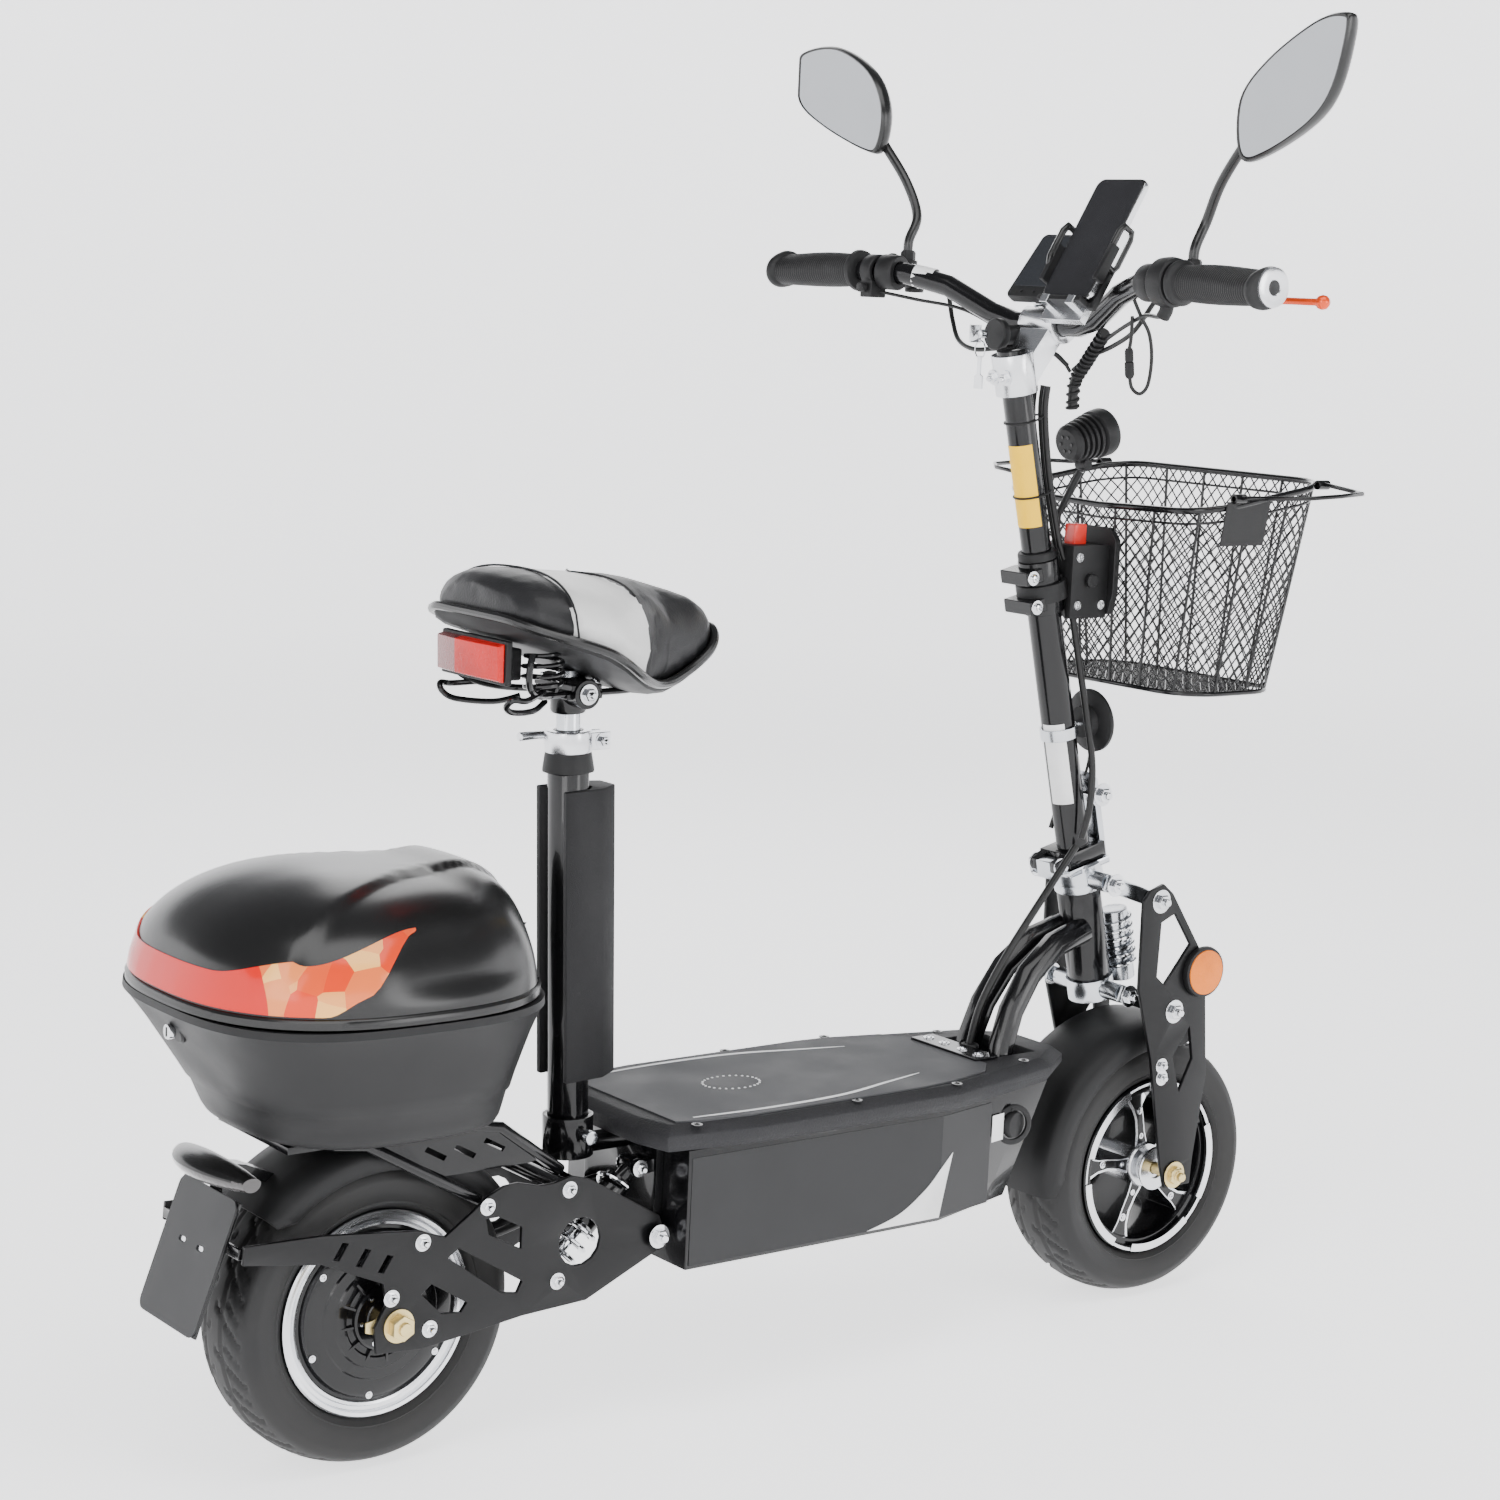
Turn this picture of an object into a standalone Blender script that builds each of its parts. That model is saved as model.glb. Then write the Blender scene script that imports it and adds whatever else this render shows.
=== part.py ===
"""Electric seated scooter: deck, sprung rear swingarm, leading-link fork, stem,
saddle, top case and basket.  Metres, +X forward, +Y left, +Z up, ground at z = 0.

Every shape is drawn from the rear axle (x = 0).  One empty carries the whole
machine back so that its bounding box is centred on the world origin.
"""
import bmesh
import bpy
from math import atan2, cos, pi, radians, sin
from mathutils import Matrix, Vector

# ------------------------------------------------------------ driving sizes
CENTRE_X = 0.4390            # rear axle to the middle of the overall length
WHEEL_R = 0.140              # 90/65-6.5 tyre
BEAD_R = 0.0932
WHEELBASE = 0.933
AXLE_R = 0.006
CLEAR = 0.0003               # gap between touching pieces

PLATE_IN = 0.070             # swingarm and fork plates: inner face
PLATE_OUT = 0.074
SWING_PIVOT = (0.270, 0.179)
RACK_BOLT_A = (0.087, 0.231)
RACK_BOLT_B = (0.173, 0.234)
SHOCK_TOP = (0.262, 0.238)
SHOCK_FOOT = (0.166, 0.153)
SHOCK_Y = -0.043
SHOCK_PIN_R = 0.004

BOX_REAR, BOX_BEND, BOX_FRONT_TOP, BOX_FRONT_LOW = 0.287, 0.590, 0.757, 0.705
BOX_HALF_W, BOX_NOSE_HALF_W = 0.0975, 0.063
BOX_LOW, BOX_TOP = 0.149, 0.2615
SHEET = 0.002
DECK_LOW, DECK_TOP = 0.262, 0.286

SEAT_FOOT = Vector((0.2195, 0.0, 0.256))
SEAT_DIR = Vector((-0.040, 0.0, 1.0)).normalized()
SEAT_TUBE_R = 0.019
SEAT_SLEEVE_R = 0.0135
SEAT_POST_R = 0.0110
SEAT_BORE_R = 0.0113
SEAT_TUBE_LEN = 0.345
SLEEVE_LEN = 0.038
CASE_LOW, CASE_LEN = 0.062, 0.268

RAKE = radians(13.7)
STEER_DIR = Vector((-sin(RAKE), 0.0, cos(RAKE)))
STEER_FWD = Vector((cos(RAKE), 0.0, sin(RAKE)))
LINK_LOW = Vector((0.869, 0.0, 0.334))     # lower link pivot, on the steering axis
LINK_RISE = 0.1217                         # pivot to pivot along that axis
LINK_X, LINK_Z = 0.050, -0.018             # a link's reach at rest
LINK_FWD = 0.0443                          # the same reach square to the steering axis
HEAD_R, HEAD_BORE = 0.0225, 0.0170
STEERER_R = 0.0165
FOLD_S, FOLD_BACK = 0.146, -0.036          # fold pivot, along and behind the axis
STEM_LOW_S, STEM_LOW_TOP = 0.150, 0.455
STEM_LOWER_R, STEM_BORE_R, STEM_UPPER_R = 0.0170, 0.0153, 0.0150
STEM_TOP_S = 0.672

BAR_R = 0.0111
GRIP_R = 0.0160
GRIP_IN, GRIP_OUT = 0.228, 0.352
BAR_MID = Vector((0.756, 0.0, 1.012))

CASE_FLOOR, CASE_RIM, LID_TOP = 0.3135, 0.4300, 0.531
CASE_WALL = 0.003
LID_HINGE = (0.135, 0.431)

BASKET_FLOOR = 0.652
BASKET_CORNER = 0.045          # corner radius in plan

# ------------------------------------------------------------ colours
PAINTS = {                   # colour, roughness, metallic
    "black_paint": ((0.010, 0.010, 0.011), 0.32, 0.0),
    "cast_black": ((0.012, 0.012, 0.013), 0.38, 0.2),
    "matte_black": ((0.022, 0.022, 0.023), 0.62, 0.0),
    "gloss_black": ((0.006, 0.006, 0.007), 0.08, 0.0),
    "deck_grey": ((0.050, 0.050, 0.052), 0.75, 0.0),
    "rubber": ((0.030, 0.030, 0.031), 0.80, 0.0),
    "zinc": ((0.55, 0.57, 0.60), 0.30, 1.0),
    "alloy": ((0.72, 0.73, 0.75), 0.28, 1.0),
    "gold_zinc": ((0.72, 0.58, 0.28), 0.35, 1.0),
    "red_plastic": ((0.62, 0.03, 0.02), 0.35, 0.0),
    "orange_red": ((0.80, 0.12, 0.03), 0.35, 0.2),
    "plate_grey": ((0.070, 0.070, 0.075), 0.50, 0.0),
    "cell_blue": ((0.04, 0.10, 0.30), 0.50, 0.0),
}


def clear_scene():
    for obj in list(bpy.data.objects):
        bpy.data.objects.remove(obj, do_unlink=True)


def paint(name):
    material = bpy.data.materials.get(name)
    if material:
        return material
    colour, roughness, metallic = PAINTS[name]
    material = bpy.data.materials.new(name)
    material.use_nodes = True
    shader = material.node_tree.nodes["Principled BSDF"]
    shader.inputs["Base Color"].default_value = (*colour, 1.0)
    shader.inputs["Roughness"].default_value = roughness
    shader.inputs["Metallic"].default_value = metallic
    return material


# ------------------------------------------------------------ mesh helpers
def tidy_mesh(bm):
    bmesh.ops.remove_doubles(bm, verts=bm.verts, dist=1e-6)
    bmesh.ops.recalc_face_normals(bm, faces=bm.faces)


def new_part(name, colour, verts, faces, pivot=(0.0, 0.0, 0.0)):
    """A named object whose origin sits at pivot, in rear-axle coordinates."""
    mesh = bpy.data.meshes.new(name)
    mesh.from_pydata([tuple(Vector(v) - Vector(pivot)) for v in verts], [], faces)
    bm = bmesh.new()
    bm.from_mesh(mesh)
    tidy_mesh(bm)
    bm.to_mesh(mesh)
    bm.free()
    obj = bpy.data.objects.new(name, mesh)
    bpy.context.scene.collection.objects.link(obj)
    obj.location = pivot
    obj.data.materials.append(paint(colour))
    return obj


def combine(obj, others, operation):
    """Boolean others into obj, then remove them."""
    for other in others:
        modifier = obj.modifiers.new(operation.lower(), "BOOLEAN")
        modifier.operation = operation
        modifier.solver = "EXACT"
        modifier.object = other
        bpy.context.view_layer.update()
        graph = bpy.context.evaluated_depsgraph_get()
        mesh = bpy.data.meshes.new_from_object(obj.evaluated_get(graph))
        obj.modifiers.clear()
        obj.data = mesh
        bpy.data.objects.remove(other, do_unlink=True)
    colour = obj.data.materials[0]
    obj.data.materials.clear()
    obj.data.materials.append(colour)
    bm = bmesh.new()
    bm.from_mesh(obj.data)
    bmesh.ops.dissolve_degenerate(bm, dist=1e-6, edges=bm.edges)
    for face in bm.faces:
        face.material_index = 0
    tidy_mesh(bm)
    bm.to_mesh(obj.data)
    bm.free()
    return obj


def join(obj, *others):
    return combine(obj, others, "UNION")


def cut(obj, *others):
    return combine(obj, others, "DIFFERENCE")


def ring_faces(rows, count, closed):
    """Quads between successive rings of count points."""
    faces = []
    for row in range(rows if closed else rows - 1):
        here, there = row * count, ((row + 1) % rows) * count
        for k in range(count):
            n = (k + 1) % count
            faces.append((here + k, here + n, there + n, there + k))
    return faces


def loft(rings):
    """Verts and faces of a closed skin through rings, with flat ends."""
    count = len(rings[0])
    verts = [p for ring in rings for p in ring]
    faces = ring_faces(len(rings), count, False)
    last = (len(rings) - 1) * count
    faces.append(tuple(range(count)))
    faces.append(tuple(last + k for k in range(count)))
    return verts, faces


def shell(outer, inner):
    """A cup: outer rings from foot to rim, then inner rings from rim to floor."""
    rings = list(outer) + list(reversed(inner))
    return loft(rings)


def circle(centre, axis, radius, sides, turn=0.0):
    axis = Vector(axis).normalized()
    side = axis.orthogonal().normalized()
    if abs(axis.y) > 0.9:
        side = Vector((0.0, 0.0, -1.0))
        side = (side - axis * side.dot(axis)).normalized()
    other = axis.cross(side)
    steps = [turn + 2 * pi * k / sides for k in range(sides)]
    return [Vector(centre) + radius * (cos(a) * side + sin(a) * other) for a in steps]


def rod(start, end, radius, sides=12, end_radius=None):
    start, end = Vector(start), Vector(end)
    axis = end - start
    far = radius if end_radius is None else end_radius
    return loft([circle(start, axis, radius, sides), circle(end, axis, far, sides)])


def tube(start, end, outer, bore, sides=16):
    start, end = Vector(start), Vector(end)
    axis = end - start
    rings = [circle(start, axis, outer, sides), circle(end, axis, outer, sides),
             circle(end, axis, bore, sides), circle(start, axis, bore, sides)]
    return [p for ring in rings for p in ring], ring_faces(4, sides, True)


def bent_rod(points, radius, sides=8):
    """A round bar swept through points, its section carried without twist."""
    points = [Vector(p) for p in points]
    tangents = []
    for k, point in enumerate(points):
        before = points[max(k - 1, 0)]
        after = points[min(k + 1, len(points) - 1)]
        tangents.append((after - before).normalized())
    side = tangents[0].orthogonal().normalized()
    rings = []
    for point, tangent in zip(points, tangents):
        side = (side - tangent * side.dot(tangent)).normalized()
        other = tangent.cross(side)
        angles = [2 * pi * j / sides for j in range(sides)]
        rings.append([point + radius * (cos(a) * side + sin(a) * other) for a in angles])
    return loft(rings)


def turned(profile, centre, sides, axis=(0.0, 1.0, 0.0)):
    """A ring turned about axis from a closed (radius, along) section."""
    axis = Vector(axis).normalized()
    rings = [circle(Vector(centre) + axis * along, axis, radius, sides)
             for radius, along in profile]
    return [p for ring in rings for p in ring], ring_faces(len(profile), sides, True)


def block(low, high):
    (x0, y0, z0), (x1, y1, z1) = low, high
    rings = [[(x, y0, z0), (x, y1, z0), (x, y1, z1), (x, y0, z1)] for x in (x0, x1)]
    return loft(rings)


def slab(outline, y_low, y_high, holes=()):
    """A plate cut to an (x, z) outline with holes, between two y planes."""
    bm = bmesh.new()
    edges = []
    for loop in (outline, *holes):
        ring = [bm.verts.new((x, y_low, z)) for x, z in loop]
        edges += [bm.edges.new((ring[k - 1], ring[k])) for k in range(len(ring))]
    bmesh.ops.triangle_fill(bm, use_beauty=True, use_dissolve=False, edges=edges)
    extruded = bmesh.ops.extrude_face_region(bm, geom=list(bm.faces))
    moved = [g for g in extruded["geom"] if isinstance(g, bmesh.types.BMVert)]
    bmesh.ops.translate(bm, verts=moved, vec=(0.0, y_high - y_low, 0.0))
    bm.verts.ensure_lookup_table()
    bm.verts.index_update()
    verts = [v.co.copy() for v in bm.verts]
    faces = [tuple(v.index for v in f.verts) for f in bm.faces]
    bm.free()
    return verts, faces


def round_hole(centre, radius, sides=12):
    return [(centre[0] + radius * cos(2 * pi * k / sides),
             centre[1] + radius * sin(2 * pi * k / sides)) for k in range(sides)]


def moved(shape, matrix):
    verts, faces = shape
    return [matrix @ Vector(v) for v in verts], faces


def flat_plate(outline, z_low, z_high, holes=()):
    """A plate cut to an (x, y) outline, between two heights."""
    verts, faces = slab(outline, z_low, z_high, holes)
    return [(v[0], v[2], v[1]) for v in verts], faces


def rounded(rear, front, half_w, z, corner, steps=4):
    """A rounded rectangle in plan, as one ring of points."""
    ring = []
    corners = [(front - corner, half_w - corner, 0.0), (rear + corner, half_w - corner, 0.5 * pi),
               (rear + corner, corner - half_w, pi), (front - corner, corner - half_w, 1.5 * pi)]
    for cx, cy, start in corners:
        for k in range(steps + 1):
            a = start + 0.5 * pi * k / steps
            ring.append(Vector((cx + corner * cos(a), cy + corner * sin(a), z)))
    return ring


def steer(s, forward=0.0, y=0.0):
    """A point by its distance along the steering axis and ahead of it."""
    point = LINK_LOW + STEER_DIR * s + STEER_FWD * forward
    return Vector((point.x, y, point.z))


def seat(s, forward=0.0, y=0.0):
    """A point by its distance up the seat tube and ahead of it."""
    ahead = Vector((SEAT_DIR.z, 0.0, -SEAT_DIR.x))
    point = SEAT_FOOT + SEAT_DIR * s + ahead * forward
    return Vector((point.x, y, point.z))


# ------------------------------------------------------------ chassis
def box_ring(z, inset, front):
    rear = BOX_REAR + inset
    wide, nose = BOX_HALF_W - inset, BOX_NOSE_HALF_W - inset
    outline = [(rear, wide), (BOX_BEND, wide), (front - inset, nose)]
    outline += [(x, -y) for x, y in reversed(outline)]
    return [Vector((x, y, z)) for x, y in outline]


def build_box():
    lean = (BOX_FRONT_TOP - BOX_FRONT_LOW) / (BOX_TOP - BOX_LOW)
    outer = [box_ring(BOX_LOW, 0.0, BOX_FRONT_LOW), box_ring(BOX_TOP, 0.0, BOX_FRONT_TOP)]
    floor = BOX_LOW + SHEET
    inner = [box_ring(floor, SHEET, BOX_FRONT_LOW + lean * SHEET),
             box_ring(BOX_TOP, SHEET, BOX_FRONT_TOP)]
    new_part("chassis_box", "black_paint", *shell(outer, inner))
    new_part("battery_pack", "cell_blue", *block((0.300, -0.085, floor + CLEAR),
                                                 (0.560, 0.085, 0.228)))
    new_part("motor_controller", "alloy", *block((0.575, -0.050, floor + CLEAR),
                                                 (0.675, 0.050, 0.195)))


def deck_outline(inset):
    side = [(0.252, 0.060), (0.262, 0.098), (0.355, 0.112), (0.600, 0.112), (0.752, 0.073),
            (0.797, 0.040)]
    middle = 0.5 * (side[0][0] + side[-1][0])
    shrunk = [(x + inset if x < middle else x - inset, y - inset) for x, y in side]
    return shrunk + [(x, -y) for x, y in reversed(shrunk)]


def build_deck():
    levels = [(DECK_LOW, 0.004), (DECK_LOW + 0.008, 0.0), (DECK_TOP - 0.008, 0.0),
              (DECK_TOP, 0.009)]
    rings = [[Vector((x, y, z)) for x, y in deck_outline(inset)] for z, inset in levels]
    deck = new_part("deck_cover", "deck_grey", *loft(rings))
    cut(deck, new_part("cut", "deck_grey", *block((0.695, -0.042, 0.25), (0.757, 0.042, 0.30))))


def neck_path(y):
    path = [(0.722, 0.2535), (0.727, 0.290), (0.740, 0.325), (0.764, 0.360), (0.798, 0.386),
            (0.840, 0.398)]
    return [(x, y * (1.0 - 0.45 * k / (len(path) - 1)), z) for k, (x, z) in enumerate(path)]


def build_front_frame():
    frame = new_part("front_frame", "black_paint",
                     *tube(steer(0.012), steer(0.108), HEAD_R, HEAD_BORE, 20))
    for y in (0.026, -0.026):
        neck = new_part("neck", "black_paint", *bent_rod(neck_path(y), 0.0135, 10))
        bore = new_part("bore", "black_paint",
                        *rod(steer(-0.02), steer(0.14), HEAD_BORE + 0.002, 20))
        join(frame, cut(neck, bore))
    join(frame, new_part("foot", "black_paint",
                         *block((0.665, -0.052, 0.2480), (0.745, 0.052, 0.2560))))


def build_rear_bracket():
    """Socket for the seat tube, ears for the swingarm pin, clevis for the shock."""
    rear = BOX_REAR - CLEAR
    bracket = new_part("rear_bracket", "black_paint",
                       *block((0.279, -0.058, 0.158), (rear, 0.058, 0.258)))
    px, pz = SWING_PIVOT
    parts = [block((px - 0.012, y - 0.004, pz - 0.014),
                   (0.282, y + 0.004, pz + 0.014)) for y in (0.052, -0.052)]
    parts.append(block((0.232, -0.012, 0.246), (0.282, 0.012, 0.2575)))
    parts.append(rod((px, -0.080, pz), (px, 0.080, pz), AXLE_R))
    sx, sz = SHOCK_TOP
    parts.append(block((sx + 0.0100, SHOCK_Y - 0.011, sz - 0.006),
                       (0.282, SHOCK_Y + 0.011, sz + 0.006)))
    ear_half = 0.011
    parts += [block((sx - 0.006, y - 0.0015, sz - 0.006), (sx + 0.012, y + 0.0015, sz + 0.006))
              for y in (SHOCK_Y - ear_half, SHOCK_Y + ear_half)]
    parts.append(rod((sx, SHOCK_Y - 0.013, sz), (sx, SHOCK_Y + 0.013, sz), SHOCK_PIN_R, 10))
    join(bracket, *[new_part("piece", "black_paint", *shape) for shape in parts])
    socket = new_part("socket", "black_paint", *rod(seat(-0.012), seat(0.026), 0.0235, 20))
    join(bracket, socket)
    cut(bracket, new_part("bore", "black_paint",
                          *rod(seat(-0.004), seat(0.05), SEAT_TUBE_R + CLEAR, 20)),
        new_part("pin_bore", "black_paint", *rod(seat(0.012, 0.0, -0.05), seat(0.012, 0.0, 0.05),
                                                 0.0043, 10)))


def build_charge_cap():
    run = Vector((BOX_FRONT_TOP - BOX_BEND, -(BOX_NOSE_HALF_W - BOX_HALF_W), 0.0)).normalized()
    out = Vector((run.y, -run.x, 0.0))
    centre = Vector((0.700, 0.0, 0.226))
    centre.y = -(BOX_HALF_W + (centre.x - BOX_BEND) * (BOX_NOSE_HALF_W - BOX_HALF_W) / (0.736 - BOX_BEND))
    start = centre + out * 0.0035
    hinge = start + Vector((0.0, 0.0, 0.0155))
    cap = new_part("charge_port_cap", "rubber",
                   *rod(start, start + out * 0.006, 0.0145, 16, 0.0125), pivot=hinge)
    tab = rod(hinge - run * 0.006 + out * 0.002, hinge + run * 0.006 + out * 0.002, 0.0022, 8)
    join(cap, new_part("tab", "rubber", *tab))


def build_kickstand():
    pivot = Vector((0.372, 0.088, 0.1395))
    foot = pivot + Vector((-0.135, 0.0, 0.0))
    stand = new_part("kickstand", "black_paint", *rod(pivot, foot, 0.0065, 10), pivot=pivot)
    join(stand, new_part("foot", "black_paint",
                         *rod(foot + Vector((0.012, 0, 0)), foot, 0.009, 10, 0.0075)),
         new_part("eye", "black_paint", *rod(pivot - Vector((0, 0.008, 0)),
                                             pivot + Vector((0, 0.008, 0)), 0.0088, 12)))


# ------------------------------------------------------------ seat
def build_seat_tube():
    top = seat(SEAT_TUBE_LEN)
    body = new_part("seat_tube", "black_paint", *rod(seat(0.0), top, SEAT_TUBE_R, 20))
    join(body, new_part("sleeve", "black_paint",
                        *rod(seat(SEAT_TUBE_LEN - 0.02), seat(SEAT_TUBE_LEN + SLEEVE_LEN),
                             SEAT_SLEEVE_R, 20)))
    cut(body, new_part("bore", "black_paint", *rod(seat(0.100), seat(SEAT_TUBE_LEN + 0.06),
                                                   SEAT_BORE_R, 20)),
        new_part("pin_bore", "black_paint", *rod(seat(0.012, 0.0, -0.05), seat(0.012, 0.0, 0.05),
                                                 0.0043, 10)))
    pin = new_part("seat_lock_pin", "zinc", *rod(seat(0.012, 0.0, -0.038), seat(0.012, 0.0, 0.030),
                                                 0.0038, 10),
                   pivot=seat(0.012, 0.0, -0.038))
    join(pin, new_part("head", "zinc", *rod(seat(0.012, 0.0, -0.040), seat(0.012, 0.0, -0.030),
                                            0.0065, 12)))


def channel(s, outline):
    return [seat(s, forward, y) for forward, y in outline]


def build_seat_case():
    """A chamfered cell housing that clips round the front of the seat tube."""
    gap = SEAT_TUBE_R + CLEAR
    outline = [(-0.018, 0.0245), (0.022, 0.0245), (0.043, 0.012), (0.043, -0.012), (0.022, -0.0245),
               (-0.018, -0.0245), (-0.018, -gap), (0.010, -gap), (gap, -0.010), (gap, 0.010),
               (0.010, gap), (-0.018, gap)]
    rings = [channel(s, outline) for s in (CASE_LOW, CASE_LOW + CASE_LEN)]
    new_part("seat_case", "matte_black", *loft(rings))


def build_seat_post():
    top = 0.437
    new_part("seat_post", "zinc", *rod(seat(0.190), seat(top), SEAT_POST_R, 16), pivot=seat(top))
    cam = seat(SEAT_TUBE_LEN + SLEEVE_LEN - 0.010, 0.0235, 0.0190)
    lever = new_part("seat_qr_lever", "alloy",
                     *rod(cam - Vector((0, 0, 0.006)), cam + Vector((0, 0, 0.006)), 0.0065, 12),
                     pivot=cam)
    arm = [cam + Vector(step) for step in ((0, 0, 0), (-0.012, 0.007, 0), (-0.040, 0.009, 0),
                                           (-0.060, 0.005, 0))]
    join(lever, new_part("arm", "alloy", *bent_rod(arm, 0.0042, 8)))


def build_saddle():
    top = seat(0.437)
    clamp = new_part("saddle_frame", "black_paint",
                     *tube(seat(0.400), seat(0.432), 0.0165, SEAT_POST_R + CLEAR, 16))
    z = 0.684
    parts = [block((top.x - 0.020, -0.030, z - 0.011), (top.x + 0.022, 0.030, z + 0.003))]
    for y in (0.024, -0.024):
        parts.append(bent_rod([(0.128, y * 2.4, 0.692), (0.142, y * 2.2, z - 0.004),
                               (0.175, y, z - 0.004), (0.245, y, z - 0.004),
                               (0.285, y * 0.8, z + 0.004), (0.308, y * 0.5, 0.694)], 0.0036, 6))
    outline = [(0.111, 0.045), (0.119, 0.076), (0.148, 0.094), (0.197, 0.085), (0.247, 0.054),
               (0.288, 0.032), (0.337, 0.022)]
    outline += [(x, -y) for x, y in reversed(outline)]
    parts.append(flat_plate(outline, 0.6915, 0.6975))
    post = new_part("post_way", "black_paint",
                    *rod(seat(0.39), seat(0.437 + CLEAR), SEAT_POST_R + CLEAR, 16))
    join(clamp, *[new_part("piece", "black_paint", *shape) for shape in parts])
    cut(clamp, post)
    sections = [                 # x, half width, underside, crown
        (0.100, 0.054, 0.726, 0.757), (0.108, 0.085, 0.712, 0.777), (0.131, 0.109, 0.704, 0.785),
        (0.168, 0.113, 0.699, 0.781), (0.210, 0.105, 0.698, 0.780), (0.247, 0.079, 0.698, 0.778),
        (0.284, 0.050, 0.698, 0.768), (0.317, 0.036, 0.698, 0.761), (0.339, 0.029, 0.702, 0.750),
        (0.352, 0.016, 0.714, 0.737)]
    rings = []
    for x, half, low, high in sections:
        mid, rise = 0.5 * (low + high), 0.5 * (high - low)
        angles = [2 * pi * k / 14 for k in range(14)]
        rings.append([Vector((x, half * cos(a), mid + rise * sin(a))) for a in angles])
    new_part("saddle_cushion", "rubber", *loft(rings))


# ------------------------------------------------------------ rear end
def swing_outline():
    return [(-0.150, 0.234), (-0.076, 0.232), (0.019, 0.222), (0.045, 0.212), (0.072, 0.230),
            (0.088, 0.242),
            (0.104, 0.249), (0.119, 0.250), (0.141, 0.244), (0.157, 0.244), (0.176, 0.248),
            (0.196, 0.242),
            (0.273, 0.197), (0.281, 0.176), (0.270, 0.163), (0.195, 0.130), (0.127, 0.127),
            (0.061, 0.119),
            (0.024, 0.115), (-0.021, 0.118), (-0.024, 0.141), (-0.012, 0.161), (-0.016, 0.180),
            (-0.077, 0.207), (-0.151, 0.218)]


def swing_holes():
    slots = [[(x, low), (x + 0.006, low - 0.002), (x + 0.015, low + 0.012),
              (x + 0.009, low + 0.014)]
             for x, low in ((-0.066, 0.2095), (-0.044, 0.2005), (-0.022, 0.1915))]
    windows = [[(0.086, 0.222), (0.099, 0.222), (0.124, 0.209), (0.124, 0.189), (0.089, 0.207)],
               [(0.048, 0.193), (0.059, 0.200), (0.126, 0.159), (0.121, 0.149), (0.104, 0.152)],
               [(0.022, 0.164), (0.032, 0.172), (0.069, 0.149), (0.063, 0.141), (0.043, 0.143)]]
    return slots + windows + [round_hole((0.186, 0.186), 0.0225, 14),
                              round_hole(SWING_PIVOT, AXLE_R + 0.0007, 10),
                              round_hole((0.0, WHEEL_R), AXLE_R + 0.0006, 10)]


def build_swingarm():
    pivot = (SWING_PIVOT[0], 0.0, SWING_PIVOT[1])
    for side, name in ((-1, "swingarm_right"), (1, "swingarm_left")):
        low, high = sorted((side * PLATE_IN, side * PLATE_OUT))
        new_part(name, "matte_black", *slab(swing_outline(), low, high, swing_holes()), pivot=pivot)
    axle = new_part("rear_axle", "gold_zinc", *rod((0, -0.088, WHEEL_R), (0, 0.088, WHEEL_R),
                                                   AXLE_R), pivot=(0, 0, WHEEL_R))
    for side in (-1, 1):
        inner, outer = side * (PLATE_OUT + CLEAR), side * 0.084
        join(axle, new_part("nut", "gold_zinc",
                            *rod((0, inner, WHEEL_R), (0, outer, WHEEL_R), 0.0115, 6)))


def build_tyre(name, x):
    half = [(BEAD_R, 0.034), (0.103, 0.0425), (0.120, 0.0450), (0.1330, 0.0340), (0.1385, 0.0180)]
    section = half + [(WHEEL_R, 0.0)] + [(r, -y) for r, y in reversed(half)]
    new_part(name, "rubber", *turned(section, (x, 0, WHEEL_R), 32), pivot=(x, 0, WHEEL_R))


def build_hub_motor():
    half = [(AXLE_R + 0.0006, 0.050), (0.028, 0.052), (0.038, 0.046), (0.068, 0.044),
            (0.074, 0.034), (0.085, 0.033), (0.0870, 0.040), (BEAD_R - 0.0005, 0.040)]
    section = half + [(r, -y) for r, y in reversed(half)]
    new_part("rear_hub_motor", "cast_black", *turned(section, (0, 0, WHEEL_R), 24),
             pivot=(0, 0, WHEEL_R))


def arc_shell(centre, start, end, steps, section):
    """A mudguard: an (radius, y) section swept through an arc from start to end."""
    rings = []
    for k in range(steps + 1):
        a = radians(start + (end - start) * k / steps)
        rings.append([Vector((centre[0] + r * cos(a), y, centre[1] + r * sin(a))) for r,
                      y in section])
    return loft(rings)


def guard_section(outer, half, skirt):
    thick = 0.0025
    skin = [(outer - skirt, half), (outer - 0.010, half - 0.003), (outer, half * 0.55),
            (outer, -half * 0.55),
            (outer - 0.010, 0.003 - half), (outer - skirt, -half)]
    inside = [(r - thick if k in (2, 3) else r, y - thick * (1 if y > 0 else -1)) for k,
              (r, y) in enumerate(skin)]
    return skin + list(reversed(inside))


def build_rear_fender():
    shape = arc_shell((0.0, WHEEL_R), 32, 138, 8, guard_section(0.1575, 0.051, 0.020))
    new_part("rear_fender", "matte_black", *shape)


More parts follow.
